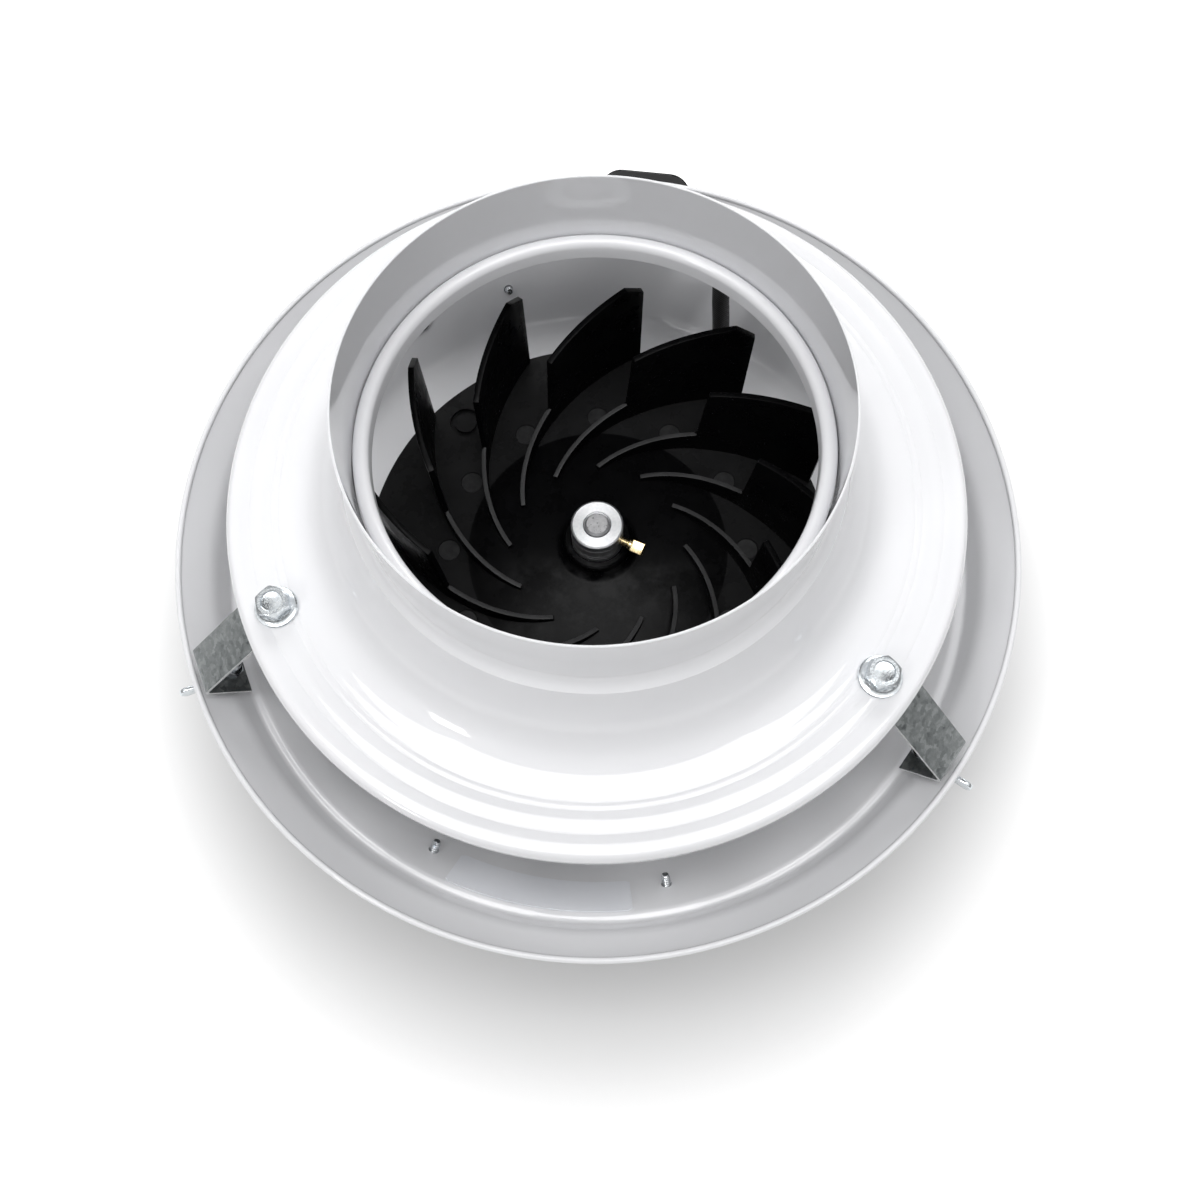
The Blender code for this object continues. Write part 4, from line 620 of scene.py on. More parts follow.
def slope_frame(start, end, azimuth, distance):
    """A frame on a sloping wall: X runs down the wall and Z points out of the dish."""
    along_r, along_z = ((b - a) / math.dist(start, end) for a, b in zip(start, end))
    place = toward(start, end, distance)
    basis = Matrix(((along_r, 0, -along_z, place[0]), (0, 1, 0, 0), (along_z, 0, along_r, place[1]), (0, 0, 0, 1)))
    basis.col[1] = (*basis.col[2].xyz.cross(basis.col[0].xyz), 0)
    return Matrix.Rotation(math.radians(azimuth), 4, "Z") @ basis


def wall_point(distance, stand_off=0.0):
    """A point on the middle of the upper wall, measured from the rim bead, or off it outwards."""
    down = (-math.cos(WALL_SLOPE), -math.sin(WALL_SLOPE))
    centre = (DISH_RIM_RADIUS - RIM_BEAD_RADIUS, RIM_LEVEL)
    return (
        centre[0] + down[0] * distance - down[1] * stand_off,
        centre[1] + down[1] * distance + down[0] * stand_off,
    )


def upper_frame(azimuth, distance=STRAP_SCREW_DISTANCE):
    """A frame on the upper wall of the dish."""
    return slope_frame(wall_point(0), wall_point(1), azimuth, distance)


def lower_frame(azimuth, distance):
    """A frame on the lower wall, measured from the step."""
    return slope_frame(STEP_POINT, FLOOR_CORNER, azimuth, distance)


print("strap screws at", [round(v, 4) for v in upper_frame(STRAPS["back"]).translation], "m at the back")

# %% [markdown]
# ## The outer dish
# One spun sheet: rolled rim bead, steep upper wall, a soft step that shows as a bright ring, lower wall and
# flat floor with the motor opening. The rim is rolled outwards round a wire, so it is a bead and no raw edge.
# A real spinner leaves soft corners, so each bend gets its own small round.

# %% Outer dish
LEG_HOLE, CAP_HOLE, PLATE_HOLE, CAPACITOR_HOLE, PLUG_HOLE = 0.0029, 0.0025, 0.0028, 0.0044, 0.0041
DRILL_REACH = 0.006
PLATE_SCREWS = (0, 120, 240)
PLATE_SCREW_CIRCLE = 0.0730
CAPACITOR_PLACE = (200, 0.1000)
CABLE_RADIUS = 0.0045
GROMMET_WALL = 0.0012
CABLE_HOLE = CABLE_RADIUS + GROMMET_WALL + GAP * 2
CABLE_WALL_AZIMUTH = 78.1
CABLE_FLOOR = (61.1, 0.1365)
CAP_SCREW_AZIMUTHS = (53.5, 107.5, 242.7, 281.0)
CAP_SCREW_DISTANCE = 0.0175
PLUG_AZIMUTH, PLUG_DISTANCE = 126.0, 0.0105

bead_joint = math.degrees(math.asin(SHEET / 2 / RIM_BEAD_RADIUS))
bead_start = 180 + math.degrees(WALL_SLOPE)
bead = arc(wall_point(0), RIM_BEAD_RADIUS, bead_start - bead_joint, bead_start - 360 + bead_joint, 22)[1:-1]
dish_corners = [
    wall_point(math.sqrt(RIM_BEAD_RADIUS ** 2 - (SHEET / 2) ** 2)),
    wall_point(0.0092),
    wall_point(0.0185),
    (0.1842, 0.0944),
    STEP_POINT,
    (0.1665, 0.0764),
    FLOOR_CORNER,
    (0.1100, FLOOR_LEVEL),
    (0.0660, FLOOR_LEVEL),
]
dish_path = rounded(dish_corners, (0, 0.0040, 0.0022, 0.0017, 0, 0.0080, 0))
dish = turned_mesh("dish", bead + sheet_outline(dish_path, SHEET, round_start=False))


def drill(radius, places, facets=24):
    """A straight drill through a sheet at each of several places."""
    return gathered("drill", rod(radius, -DRILL_REACH, DRILL_REACH, facets), places)


cap_places = [lower_frame(azimuth, CAP_SCREW_DISTANCE) for azimuth in CAP_SCREW_AZIMUTHS]
plug_place = lower_frame(PLUG_AZIMUTH, PLUG_DISTANCE)
cable_places = [upper_frame(CABLE_WALL_AZIMUTH), upright(*CABLE_FLOOR, FLOOR_LEVEL)]
dish = solid(
    "DIFFERENCE",
    dish,
    drill(LEG_HOLE, [upper_frame(azimuth) for azimuth in STRAPS.values()]),
    drill(CAP_HOLE, cap_places),
    drill(CABLE_HOLE, cable_places, 32),
    drill(PLUG_HOLE, [plug_place]),
    drill(PLATE_HOLE, [upright(azimuth, PLATE_SCREW_CIRCLE, FLOOR_LEVEL) for azimuth in PLATE_SCREWS]),
    drill(CAPACITOR_HOLE, [upright(*CAPACITOR_PLACE, FLOOR_LEVEL)]),
)
show("dish_shell", dish, white, "white_coat", "housing", "outer_dish")

# %% [markdown]
# ## The rear cap
# A second spun pan closes the motor space and is what the fan lies on. Its skirt laps over the lower wall of
# the dish and four screws go through both. The profile is the same trick: a middle line with big soft corners.

# %% Rear cap
cap_start, cap_end = offset([STEP_POINT, FLOOR_CORNER], SHEET + GAP)
cap_corners = [
    toward(cap_start, cap_end, 0.0110),
    toward(cap_start, cap_end, 0.0240),
    (0.1500, 0.0230),
    (0.1240, SHEET / 2),
    (0.0600, SHEET / 2),
    (0, SHEET / 2),
]
cap_path = rounded(cap_corners, (0, 0.0140, 0.0140, 0))
cap_inner = offset(cap_path, -SHEET / 2)[::-1]
cap_outer = offset(cap_path, SHEET / 2)
cap_edge = edge_round(cap_path[0], cap_path[1], SHEET)
cap = turned_mesh("cap", cap_inner + cap_edge[::-1] + cap_outer, closed=False)
cap = solid("DIFFERENCE", cap, drill(CAP_HOLE, cap_places))
show("rear_pan", cap, white, "white_coat", "housing", "rear_cap")

# %% [markdown]
# ## The inlet cone
# Duct spigot, trumpet flare and flange are one sheet again. Round the flange run three shallow grooves that
# the spinning roller pressed in: two close together and one further out. They are real dents of the middle
# line, a quarter of a millimetre deep, so both faces show them and the bolts still lie flat.

# %% Inlet cone
SPIGOT_TUBE = 0.0990
SPIGOT_TOP = 0.2440
TUBE_END = 0.2055
CONE_FOOT = (0.1042, 0.1995)
GROOVES = (0.1404, 0.1436, 0.1530)
GROOVE_DEPTH, GROOVE_HALF = 0.00024, 0.0009
FLANGE_EDGE = 0.1635
BOLT_CIRCLE, BOLT_HOLE = 0.1475, 0.0044


def groove_points():
    """The flat flange with its pressed grooves."""
    points = []
    for middle in GROOVES:
        for share in (-1, -0.5, 0, 0.5, 1):
            dip = GROOVE_DEPTH * (1 + math.cos(math.pi * share)) / 2
            points.append((middle + GROOVE_HALF * share, FLANGE_LEVEL - dip))
    return points


neck = curve_between((SPIGOT_TUBE, TUBE_END), (SPIGOT_TUBE, (TUBE_END + CONE_FOOT[1]) / 2), CONE_FOOT, 5)
flare = curve_between(CONE_FOOT, (0.1120, FLANGE_LEVEL), (0.1360, FLANGE_LEVEL), 22)
turn_down = curve_between(
    (FLANGE_EDGE - 0.0035, FLANGE_LEVEL), (FLANGE_EDGE, FLANGE_LEVEL), (FLANGE_EDGE, FLANGE_LEVEL - 0.0035), 7
)
cone_path = [(SPIGOT_TUBE, SPIGOT_TOP), (SPIGOT_TUBE, 0.2250)] + neck + flare[1:] + groove_points() + turn_down
cone_path.append((FLANGE_EDGE, FLANGE_LEVEL - 0.0052))
cone = turned_mesh("cone", sheet_outline(cone_path, SHEET))
bolt_places = [upright(azimuth, BOLT_CIRCLE, FLANGE_LEVEL) for azimuth in STRAPS.values()]
cone = solid("DIFFERENCE", cone, drill(BOLT_HOLE, bolt_places, 32))
show("cone_shell", cone, white, "white_coat", "housing", "inlet_cone")

# %% [markdown]
# ## The inlet ring
# Inside the spigot sits a rolled ring that narrows the throat to the eye of the wheel. Its round top is the
# bright bead in the photograph. A half circle with two short legs is enough.

# %% Inlet ring
RING_OUTER, RING_INNER, RING_CENTRE = 0.0977, 0.0920, 0.20695
ring_top = arc(((RING_OUTER + RING_INNER) / 2, RING_CENTRE), (RING_OUTER - RING_INNER) / 2, 0, 180, 16)
RING_LEG = 0.0060
ring_path = [(RING_OUTER, RING_CENTRE - RING_LEG)] + ring_top + [(RING_INNER, RING_CENTRE - RING_LEG)]
ring = turned_mesh("ring", sheet_outline(ring_path, SHEET))
show("throat_ring", ring, white, "white_coat", "housing", "inlet_ring")

# %% [markdown]
# ## The wheel
# The wheel is one moulding: a plate, a cone that rises to the hub, and twelve blades. Each blade starts as a
# low rib near the hub, jumps up at the eye to full height, and ends in a clipped corner. From above it follows a
# logarithmic spiral, so it leans back evenly. The blade is laid out as a grid: stations along the spiral,
# bottom and top on both flanks. A small bevel breaks the moulded edges, then everything is welded together.

# %% Blade
PLATE_LEVEL = 0.0860
PLATE_RADIUS = 0.1180
PLATE_GAUGE = 0.0025
ROOT, EYE, TIP = 0.0440, 0.0775, 0.1170
SPIRAL = 1.27
ROOT_HEIGHT, FOOT_HEIGHT, INNER_HEIGHT, OUTER_HEIGHT = 0.0058, 0.0140, 0.0545, 0.0648
INNER_SLANT, CLIP_REACH, CLIP_DROP = 0.0020, 0.0060, 0.0070
RIB_HALF, BLADE_HALF = (0.00130, 0.00115), (0.00152, 0.00145)


def between(start, end, share):
    """The value at a share of the way from start to end."""
    return start + (end - start) * share


def blade_stations():
    """Along the blade: radius at the foot, radius at the crest, height, half thickness low and high."""
    rows = []
    for step in range(15):
        radius = between(ROOT, EYE, step / 14)
        rows.append((radius, radius, between(ROOT_HEIGHT, FOOT_HEIGHT, step / 14), RIB_HALF))
    clip = TIP - CLIP_REACH
    for step in range(17):
        share = step / 16
        height = between(INNER_HEIGHT, OUTER_HEIGHT, share)
        foot, crest = between(EYE + 0.0002, clip, share), between(EYE + INNER_SLANT, clip, share)
        rows.append((foot, crest, height, BLADE_HALF))
    for step in (1, 2, 3):
        foot = between(clip, PLATE_RADIUS - PLATE_GAUGE / 2, step / 3)
        rows.append((foot, between(clip, TIP, step / 3), OUTER_HEIGHT - CLIP_DROP * step / 3, BLADE_HALF))
    return rows


def blade_mesh():
    """One blade as a closed solid, at azimuth zero."""
    low = PLATE_LEVEL - PLATE_GAUGE / 2
    rows = []
    for foot, crest, height, halves in blade_stations():
        row = []
        for sign in (-1, 1):
            for reach, level, half in ((foot, low, halves[0]), (crest, PLATE_LEVEL + height, halves[1])):
                angle = -SPIRAL * math.log(reach / ROOT)
                across = angle + math.atan2(-SPIRAL, 1) + math.pi / 2
                x = reach * math.cos(angle) + sign * half * math.cos(across)
                y = reach * math.sin(angle) + sign * half * math.sin(across)
                row.append((x, y, level))
        rows.append(row)
    points = [point for row in rows for point in row]
    faces = [(0, 1, 3, 2), tuple(4 * (len(rows) - 1) + k for k in (0, 2, 3, 1))]
    for index in range(len(rows) - 1):
        a, b = 4 * index, 4 * index + 4
        for k, m in ((0, 1), (1, 3), (3, 2), (2, 0)):
            faces.append((a + k, b + k, b + m, a + m))
    mesh = bpy.data.meshes.new("blade")
    mesh.from_pydata(points, [], faces)
    return bevelled(tidied(mesh), 0.00022, 2, 40)


blade = blade_mesh()
print("blade faces:", len(blade.polygons))

# %% [markdown]
# ## The wheel's black
# The wheel is moulded in black glass-filled plastic that drinks nearly all light. Three greys painted into its
# colour keep it from being flat black. The outer plate has a fine texture and is painted a shade greyer as painted
# sheen. The up-facing crests of the low ribs get a painted highlight, and a cloudy painted sheen lies on one side
# of the hub. Painting them by hand would need uv maps, so each is a mask from the place on the wheel: how far from
# the axis, how high, and which way the face looks.

# %% Wheel finish
TEXTURE_EDGE = (0.0658, 0.0664)
RIB_ENDS = (ROOT - 0.0010, EYE + 0.0001)
EDGE_BLUR = 0.0006
RIB_CLIMB = 0.12
UP_FACING = (0.78, 0.90)
HUB_SHEEN_EDGE, HUB_SHEEN_SIDE = (0.0300, 0.0640), (0.0, -0.0240)
# How strongly each painted sheen or painted highlight greys the wheel's colour.
TEXTURE_SHEEN, RIB_HIGHLIGHT, HUB_SHEEN_SHARE = 0.20, 0.85, 0.42
FLOW_MARK_AND_SHEEN_NOISE = {"scale": 75, "detail": 7.0, "rough": 0.62}

wheel_black = new_finish("wheel_moulding", (0.006, 0.006, 0.0066), 0.3, Specular_IOR_Level=0.07)


def wheel_maths(operation, *values):
    """A maths node in the wheel's finish."""
    return maths(wheel_black, operation, *values)


spot = node(wheel_black, "ShaderNodeSeparateXYZ", Vector=place_in(wheel_black)).outputs
squares = [wheel_maths("MULTIPLY", spot[axis], spot[axis]) for axis in "XY"]
reach = wheel_maths("SQRT", wheel_maths("ADD", *squares))
normal = node(wheel_black, "ShaderNodeTexCoord").outputs["Normal"]
up = node(wheel_black, "ShaderNodeSeparateXYZ", Vector=normal).outputs["Z"]

on_plate = wheel_maths("SUBTRACT", 1.0, fade(wheel_black, spot["Z"], PLATE_LEVEL + 0.0002, PLATE_LEVEL + 0.0004))
# Painted sheen: the textured plate beyond the edge radius is painted greyer to stand for its sheen.
textured_ring_sheen = wheel_maths("MULTIPLY", fade(wheel_black, reach, *TEXTURE_EDGE), on_plate)
# Painted highlight: the up-facing crests of the low ribs are painted grey where the overhead light would catch
# them.
rib_floor = wheel_maths("MULTIPLY_ADD", reach, RIB_CLIMB, PLATE_LEVEL - 0.0008)
rib_crest_highlight = fade(wheel_black, wheel_maths("SUBTRACT", spot["Z"], rib_floor), 0.0, EDGE_BLUR)
for limit in (
    fade(wheel_black, up, *UP_FACING),
    fade(wheel_black, reach, RIB_ENDS[0], RIB_ENDS[0] + EDGE_BLUR),
    fade(wheel_black, reach, RIB_ENDS[1], RIB_ENDS[1] - 0.0004),
):
    rib_crest_highlight = wheel_maths("MULTIPLY", rib_crest_highlight, limit)
# Painted sheen: a cloudy grey near the hub, on its -Y side only, shaped by the same noise as the roughness of the
# flow marks.
near_hub = wheel_maths("SUBTRACT", 1.0, fade(wheel_black, reach, *HUB_SHEEN_EDGE))
near_hub = wheel_maths("MULTIPLY", near_hub, fade(wheel_black, spot["Y"], *HUB_SHEEN_SIDE))
hub_sheen_mask = wheel_maths("MULTIPLY", fade(wheel_black, noise(wheel_black, **FLOW_MARK_AND_SHEEN_NOISE), 0.44, 0.66), near_hub)

# The painted sheen of the outer plate, the painted highlight on the rib crests and the painted sheen by the hub are
# added up, broken by cloudy noise, and ramped into a greyer base colour.
painted_sheen_amount = wheel_maths(
    "ADD", wheel_maths("MULTIPLY", textured_ring_sheen, TEXTURE_SHEEN), wheel_maths("MULTIPLY", rib_crest_highlight, RIB_HIGHLIGHT)
)
clouds = wheel_maths("ADD", 0.6, wheel_maths("MULTIPLY", noise(wheel_black, 60, 6.0, rough=0.65), 0.8))
painted_sheen_amount = wheel_maths("ADD", wheel_maths("MULTIPLY", painted_sheen_amount, clouds), wheel_maths("MULTIPLY", hub_sheen_mask, HUB_SHEEN_SHARE))
painted_sheen_colour = ramp(wheel_black, painted_sheen_amount, (0.0, (0.0022, 0.0022, 0.0025)), (1.0, (0.060, 0.060, 0.061)))
feed(wheel_black, painted_sheen_colour, "Base Color")
mottle(wheel_black, "Roughness", low=0.20, high=0.44, stops=(0.36, 0.66), **FLOW_MARK_AND_SHEEN_NOISE)
bump(wheel_black, noise(wheel_black, 1500, 3.0), 0.00003, 0.2)

pin_black = new_finish("pin_mark", (0.02, 0.02, 0.0205), 0.3, Specular_IOR_Level=0.3)
mottle(pin_black, "Base Color", 300, 4.0, (0.014, 0.014, 0.0145), (0.030, 0.030, 0.031))
print("wheel finish nodes:", len(wheel_black.node_tree.nodes))

# %% [markdown]
# ## The wheel itself
# The plate carries marks that any moulder knows: round ejector pins leave discs between the blades, one per
# blade, and one deeper ring holds a balance weight. They are cut with turned tools, the discs half a
# millimetre deep and the ring nearly two, because at this angle the light picks out their edges and no bump
# map would. The floors of the discs are smoother, so those faces take a second, slightly greyer material.

# %% Wheel
HUB_BORE = 0.0131
PIN_CIRCLE, PIN_RADIUS, PIN_DEPTH = 0.0760, 0.0058, 0.0006
POCKET, MOAT_DEPTH = (134.0, 0.1015), 0.0017
BLADE_AZIMUTHS = range(0, 360, 30)
under = PLATE_LEVEL - PLATE_GAUGE
boss_top = PLATE_LEVEL + 0.0160
hub_outline = [
    (HUB_BORE, boss_top - 0.0004),
    (HUB_BORE + 0.0004, boss_top),
    (0.0157, boss_top),
    (0.0165, boss_top - 0.0008),
    (0.0168, boss_top - 0.0060),
    *curve_between(
        (0.0172, PLATE_LEVEL + 0.0095), (0.0181, PLATE_LEVEL + 0.0065), (0.0215, PLATE_LEVEL + 0.0060), 8
    ),
    (0.0420, PLATE_LEVEL + 0.0032),
    (0.0640, PLATE_LEVEL + 0.0003),
    (0.0662, PLATE_LEVEL),
    (0.0900, PLATE_LEVEL),
    (PLATE_RADIUS - 0.0006, PLATE_LEVEL),
    (PLATE_RADIUS, PLATE_LEVEL - 0.0006),
    (PLATE_RADIUS, under + 0.0006),
    (PLATE_RADIUS - 0.0006, under),
    (0.0900, under),
    (0.0340, under),
    (HUB_BORE, under),
]
wheel = turned_mesh("wheel", hub_outline)
blades = gathered("blades", blade, [upright(azimuth, 0, 0) for azimuth in BLADE_AZIMUTHS])
wheel = solid("UNION", wheel, blades)
pin_rim = [(PIN_RADIUS + 0.0002, 0.010), (PIN_RADIUS + 0.0002, 0.0001), (PIN_RADIUS - 0.0004, -PIN_DEPTH)]
pin = turned_mesh("pin", [(0, 0.010), *pin_rim, (0, -PIN_DEPTH)], 48, closed=False)
pin_places = [upright(azimuth, PIN_CIRCLE, PLATE_LEVEL) for azimuth in BLADE_AZIMUTHS]
moat = turned_mesh("moat", [(0.0056, 0.003), (0.0084, 0.003), (0.0081, -MOAT_DEPTH), (0.0058, -MOAT_DEPTH)], 64)
wheel = solid("DIFFERENCE", wheel, gathered("pins", pin, pin_places), moved(moat, upright(*POCKET, PLATE_LEVEL)))
wheel_piece = show("wheel_moulding", wheel, wheel_black, "black_plastic", "rotor", "impeller")
wheel_piece.data.materials.append(pin_black)
for face in wheel_piece.data.polygons:
    nearest = min((face.center - place.translation).length for place in pin_places)
    if abs(face.center.z - PLATE_LEVEL + PIN_DEPTH) < 0.0001 and nearest < PIN_RADIUS:
        face.material_index = 1
print("pin faces:", sum(face.material_index for face in wheel_piece.data.polygons))

# %% [markdown]
# ## Threads, hexagons and screws
# A thread could be a spiral sweep, but a grid works better: a cylinder whose radius rises and falls with
# height and angle together. It stays closed, so it can be welded to a head. A hex head is a prism met by a
# turned blank, which is how the rounded corners of a real head come about.

# %% Thread and hexagon
def threaded(radius, bottom, top, pitch, tip=0.0, facets=24):
    """A threaded rod along Z, with a tapered lower end."""
    count = max(int((top - bottom) / pitch * 6), 6)
    points, faces = [(0, 0, bottom), (0, 0, top)], []
    for row in range(count + 1):
        level = bottom + (top - bottom) * row / count
        shrink = min((level - bottom) / tip, 1) if tip else 1
        core = radius * (0.72 + 0.28 * shrink)
        depth = pitch * 0.28 * min((level - bottom) / pitch, (top - level) / pitch, 1)
        for spoke in range(facets):
            share = spoke / facets
            phase = (level / pitch - share) % 1
            angle = 2 * math.pi * share
            radius_here = core - depth * (1 - abs(2 * phase - 1))
            points.append((radius_here * math.cos(angle), radius_here * math.sin(angle), level))
    for row in range(count):
        for spoke in range(facets):
            a = 2 + row * facets + spoke
            b = 2 + row * facets + (spoke + 1) % facets
            faces.append((a, b, b + facets, a + facets))
    for spoke in range(facets):
        after = (spoke + 1) % facets
        faces.append((0, 2 + after, 2 + spoke))
        faces.append((1, 2 + count * facets + spoke, 2 + count * facets + after))
    mesh = bpy.data.meshes.new("thread")
    mesh.from_pydata(points, [], faces)
    return tidied(mesh, 50)


def hexagon(across, bottom, top, chamfer_top=True, chamfer_bottom=False):
    """A hexagon prism with the turned chamfers of a real head."""
    corner = across / 2 / math.cos(math.pi / 6)
    outline = [(corner * math.cos(math.pi * k / 3), corner * math.sin(math.pi * k / 3)) for k in range(6)]
    body = bevelled(prism(outline, bottom, top), across * 0.018, 2, 50)
    drop = (corner - across / 2) * 0.62 + across * 0.03
    spare = 0.001
    high, high_edge = (top, top - drop) if chamfer_top else (top + spare, top + spare)
    low, low_edge = (bottom, bottom + drop) if chamfer_bottom else (bottom - spare, bottom - spare)
    blank = [(0, high), (across * 0.46, high), (corner * 1.01, high_edge)]
    blank += [(corner * 1.01, low_edge), (across * 0.46, low), (0, low)]
    return solid("INTERSECT", body, turned_mesh("blank", blank, 48, closed=False))


print("thread and hexagon tools ready")

# %% [markdown]
# ## Flange bolts and nuts
# Three bolts hold flange and straps. A hex flange bolt has its washer forged on: a thin dished skirt that
# runs up into the hexagon. The top is slightly cupped. The nuts hang under the straps.

# %% Bolts and nuts
BOLT_HEX = 0.0130
BOLT_TURN = {"back": 10, "left": 22, "right": 48}

skirt = [(0, 0.0034), (0.0060, 0.0034)]
skirt += curve_between((0.0066, 0.0030), (0.0074, 0.0015), (0.0090, 0.0013), 6)
skirt += [(0.0093, 0.0009), (0.0093, 0.0003), (0.0090, 0.0), (0, 0.0)]
bolt_head = solid("UNION", turned_mesh("skirt", skirt, 72, closed=False), hexagon(BOLT_HEX, 0.0018, 0.0086))
cup = [(0, 0.010), (0.0047, 0.010), (0.0046, 0.0086), (0.0043, 0.0078), (0.0038, 0.0077), (0, 0.0077)]
bolt_head = solid("DIFFERENCE", bolt_head, turned_mesh("cup", cup, 48, closed=False))
bolt = solid("UNION", bolt_head, threaded(0.0040, -0.0150, 0.0006, 0.00125, 0.001))
nut_skirt = [(0, 0), (0.0078, 0), (0.0080, -0.0003), (0.0080, -0.0010), (0.0067, -0.0024), (0, -0.0024)]
nut_hex = hexagon(BOLT_HEX, -0.0080, -0.0012, False, True)
nut = solid("UNION", turned_mesh("nut_skirt", nut_skirt, 60, closed=False), nut_hex)
nut = solid("DIFFERENCE", nut, rod(0.0043, -0.01, 0.001, 32))
for where, azimuth in STRAPS.items():
    tilt = Matrix.Rotation(math.radians(BOLT_TURN[where]), 4, "Z")
    seat = upright(azimuth, BOLT_CIRCLE, FLANGE_LEVEL + SHEET / 2 + GAP)
    show("bolt_" + where, bolt.copy(), zinc, "zinc_plate", "housing", "flange_bolt_" + where, place=seat @ tilt)
    seat = upright(azimuth, BOLT_CIRCLE, FLANGE_LEVEL - SHEET / 2 - GAP * 2 - 0.0015)
    show("nut_" + where, nut.copy(), zinc, "zinc_plate", "housing", "flange_nut_" + where, place=seat @ tilt)

# %% [markdown]
# ## Straps
# A strap is a strip of galvanised sheet, cut and bent twice: flat under the bolt, slanting out to the rim,
# and down along the wall. Its outline is drawn in the radial plane and given its width, so the bends keep
# their gauge. The long edges are only just broken, because shears leave them crisp and bright.

# %% Straps
STRAP_GAUGE, STRAP_WIDTH = 0.0015, 0.0215
PAD_HEIGHT, LEG_NUT_HEIGHT = 0.0055, 0.0045
LEG_SEAT = SHEET / 2 + GAP + PAD_HEIGHT + GAP
NUT_SEAT = LEG_SEAT + STRAP_GAUGE + GAP
LEG_NUT_TURN = 0.4
strap_level = FLANGE_LEVEL - SHEET / 2 - GAP - STRAP_GAUGE / 2
leg_offset = -(LEG_SEAT + STRAP_GAUGE / 2)
strap_corners = [
    (BOLT_CIRCLE - 0.0095, strap_level),
    (BOLT_CIRCLE + 0.0085, strap_level),
    wall_point(-0.0019, leg_offset),
    wall_point(0.0221, leg_offset),
]
strap_line = rounded(strap_corners, (0.0025, 0.0025), 8)
strap_outline = offset(strap_line, STRAP_GAUGE / 2) + offset(strap_line, -STRAP_GAUGE / 2)[::-1]
stand = Matrix.Rotation(math.radians(90), 4, "X")
strap = bevelled(prism(strap_outline, -STRAP_WIDTH / 2, STRAP_WIDTH / 2, stand), 0.00018, 2, 40)
strap = solid(
    "DIFFERENCE",
    strap,
    moved(rod(BOLT_HOLE, -0.005, 0.005, 32), upright(0, BOLT_CIRCLE, strap_level)),
    moved(rod(LEG_HOLE, -0.012, 0, 24), upper_frame(0)),
)
# Only cut faces above the rim get the bright steel. The leg's cut faces stay galvanised, as painted shade.
lit_cut_faces = [
    face.index
    for face in strap.polygons
    if abs(face.normal.y) > 0.6 and face.center.z > RIM_LEVEL + 0.003
]
print("sheared faces on each strap:", len(lit_cut_faces))

# %% [markdown]
# A black spacer keeps the strap's leg off the sloping wall. It is a short turned plug, cut to the wall by the
# dish's own line, so it meets the sheet all over. A small nut closes the stack on the inside.

# %% Pads, leg nuts, and the three stacks
OUTSIDE_ALL, BELOW_ALL = 0.2217, FLOOR_LEVEL - 0.02
inside = offset(dish_path, -(SHEET / 2 + GAP))
hollow = inside[::-1] + [(OUTSIDE_ALL, RIM_LEVEL), (OUTSIDE_ALL, BELOW_ALL), (inside[-1][0], BELOW_ALL)]
pad_outline = [(0, 0), (0.0075, 0), (0.0075, -0.0058)]
pad_outline += [(0.0072, -LEG_SEAT + GAP), (0, -LEG_SEAT + GAP)]
pad = moved(turned_mesh("pad", pad_outline, 48, closed=False), upper_frame(0))
pad_hole = moved(rod(LEG_HOLE, -0.02, 0.02, 24), upper_frame(0))
pad = solid("DIFFERENCE", pad, turned_mesh("hollow", hollow, 192), pad_hole)
leg_nut = solid("DIFFERENCE", hexagon(0.0090, -LEG_NUT_HEIGHT, 0, True, True), rod(LEG_HOLE, -0.01, 0.01, 24))
for where, azimuth in STRAPS.items():
    spin = Matrix.Rotation(math.radians(azimuth), 4, "Z")
    cad_strap = "strap_bracket_" + where
    strip = show("strap_" + where, strap.copy(), galvanised, "galvanised", "housing", cad_strap, place=spin)
    strip.data.materials.append(cut_steel)
    for index in lit_cut_faces:
        strip.data.polygons[index].material_index = 1
    show("pad_" + where, pad.copy(), rubber, "black_rubber", "housing", "strap_pad_" + where, place=spin)
    seat = upper_frame(azimuth) @ Matrix.Translation((0, 0, -NUT_SEAT)) @ Matrix.Rotation(LEG_NUT_TURN, 4, "Z")
    show("leg_nut_" + where, leg_nut.copy(), tip_zinc, "zinc_plate", "housing", "strap_nut_" + where, place=seat)

# %% [markdown]
# ## Wing screws
# Outside the rim, below the two front straps, a cast wing screw lets the straps be undone by hand. The wings
# are a flat paddle shape with round lobes, fused to a small cone and a threaded shank. Each turns on its own
# CAD body, so its axis stays that of the screw.

# %% Wing screws
WING_SEAT = SHEET / 2 + GAP * 1.5
SHANK_END = NUT_SEAT + LEG_NUT_HEIGHT + 0.0025

wing_lobe = arc((0.0098, 0.0108), 0.0036, -58, 118, 14)
right_half = [(0.0030, 0.0021), (0.0062, 0.0040)] + wing_lobe + [(0.0050, 0.0108), (0.0024, 0.0056)]
wing_outline = right_half + [(-x, y) for x, y in right_half[::-1]]
wings = bevelled(prism(wing_outline, -0.0011, 0.0011, stand), 0.0006, 3, 40)
cone_outline = [(0, 0.0060), (0.0038, 0.0060), (0.0042, 0.0056), (0.0052, 0.0003), (0.0049, 0), (0, 0)]
wing_screw = solid("UNION", turned_mesh("wing_cone", cone_outline, 40, closed=False), wings)
wing_screw = solid("UNION", wing_screw, threaded(0.0025, -WING_SEAT - SHANK_END, 0.0004, 0.0008, 0.0006))
for where in ("left", "right"):
    seat = upper_frame(STRAPS[where]) @ Matrix.Translation((0, 0, WING_SEAT))
    body = where + "_wing_screw"
    show("wing_" + where, wing_screw.copy(), zinc, "zinc_plate", body, "wing_screw_" + where, place=seat)

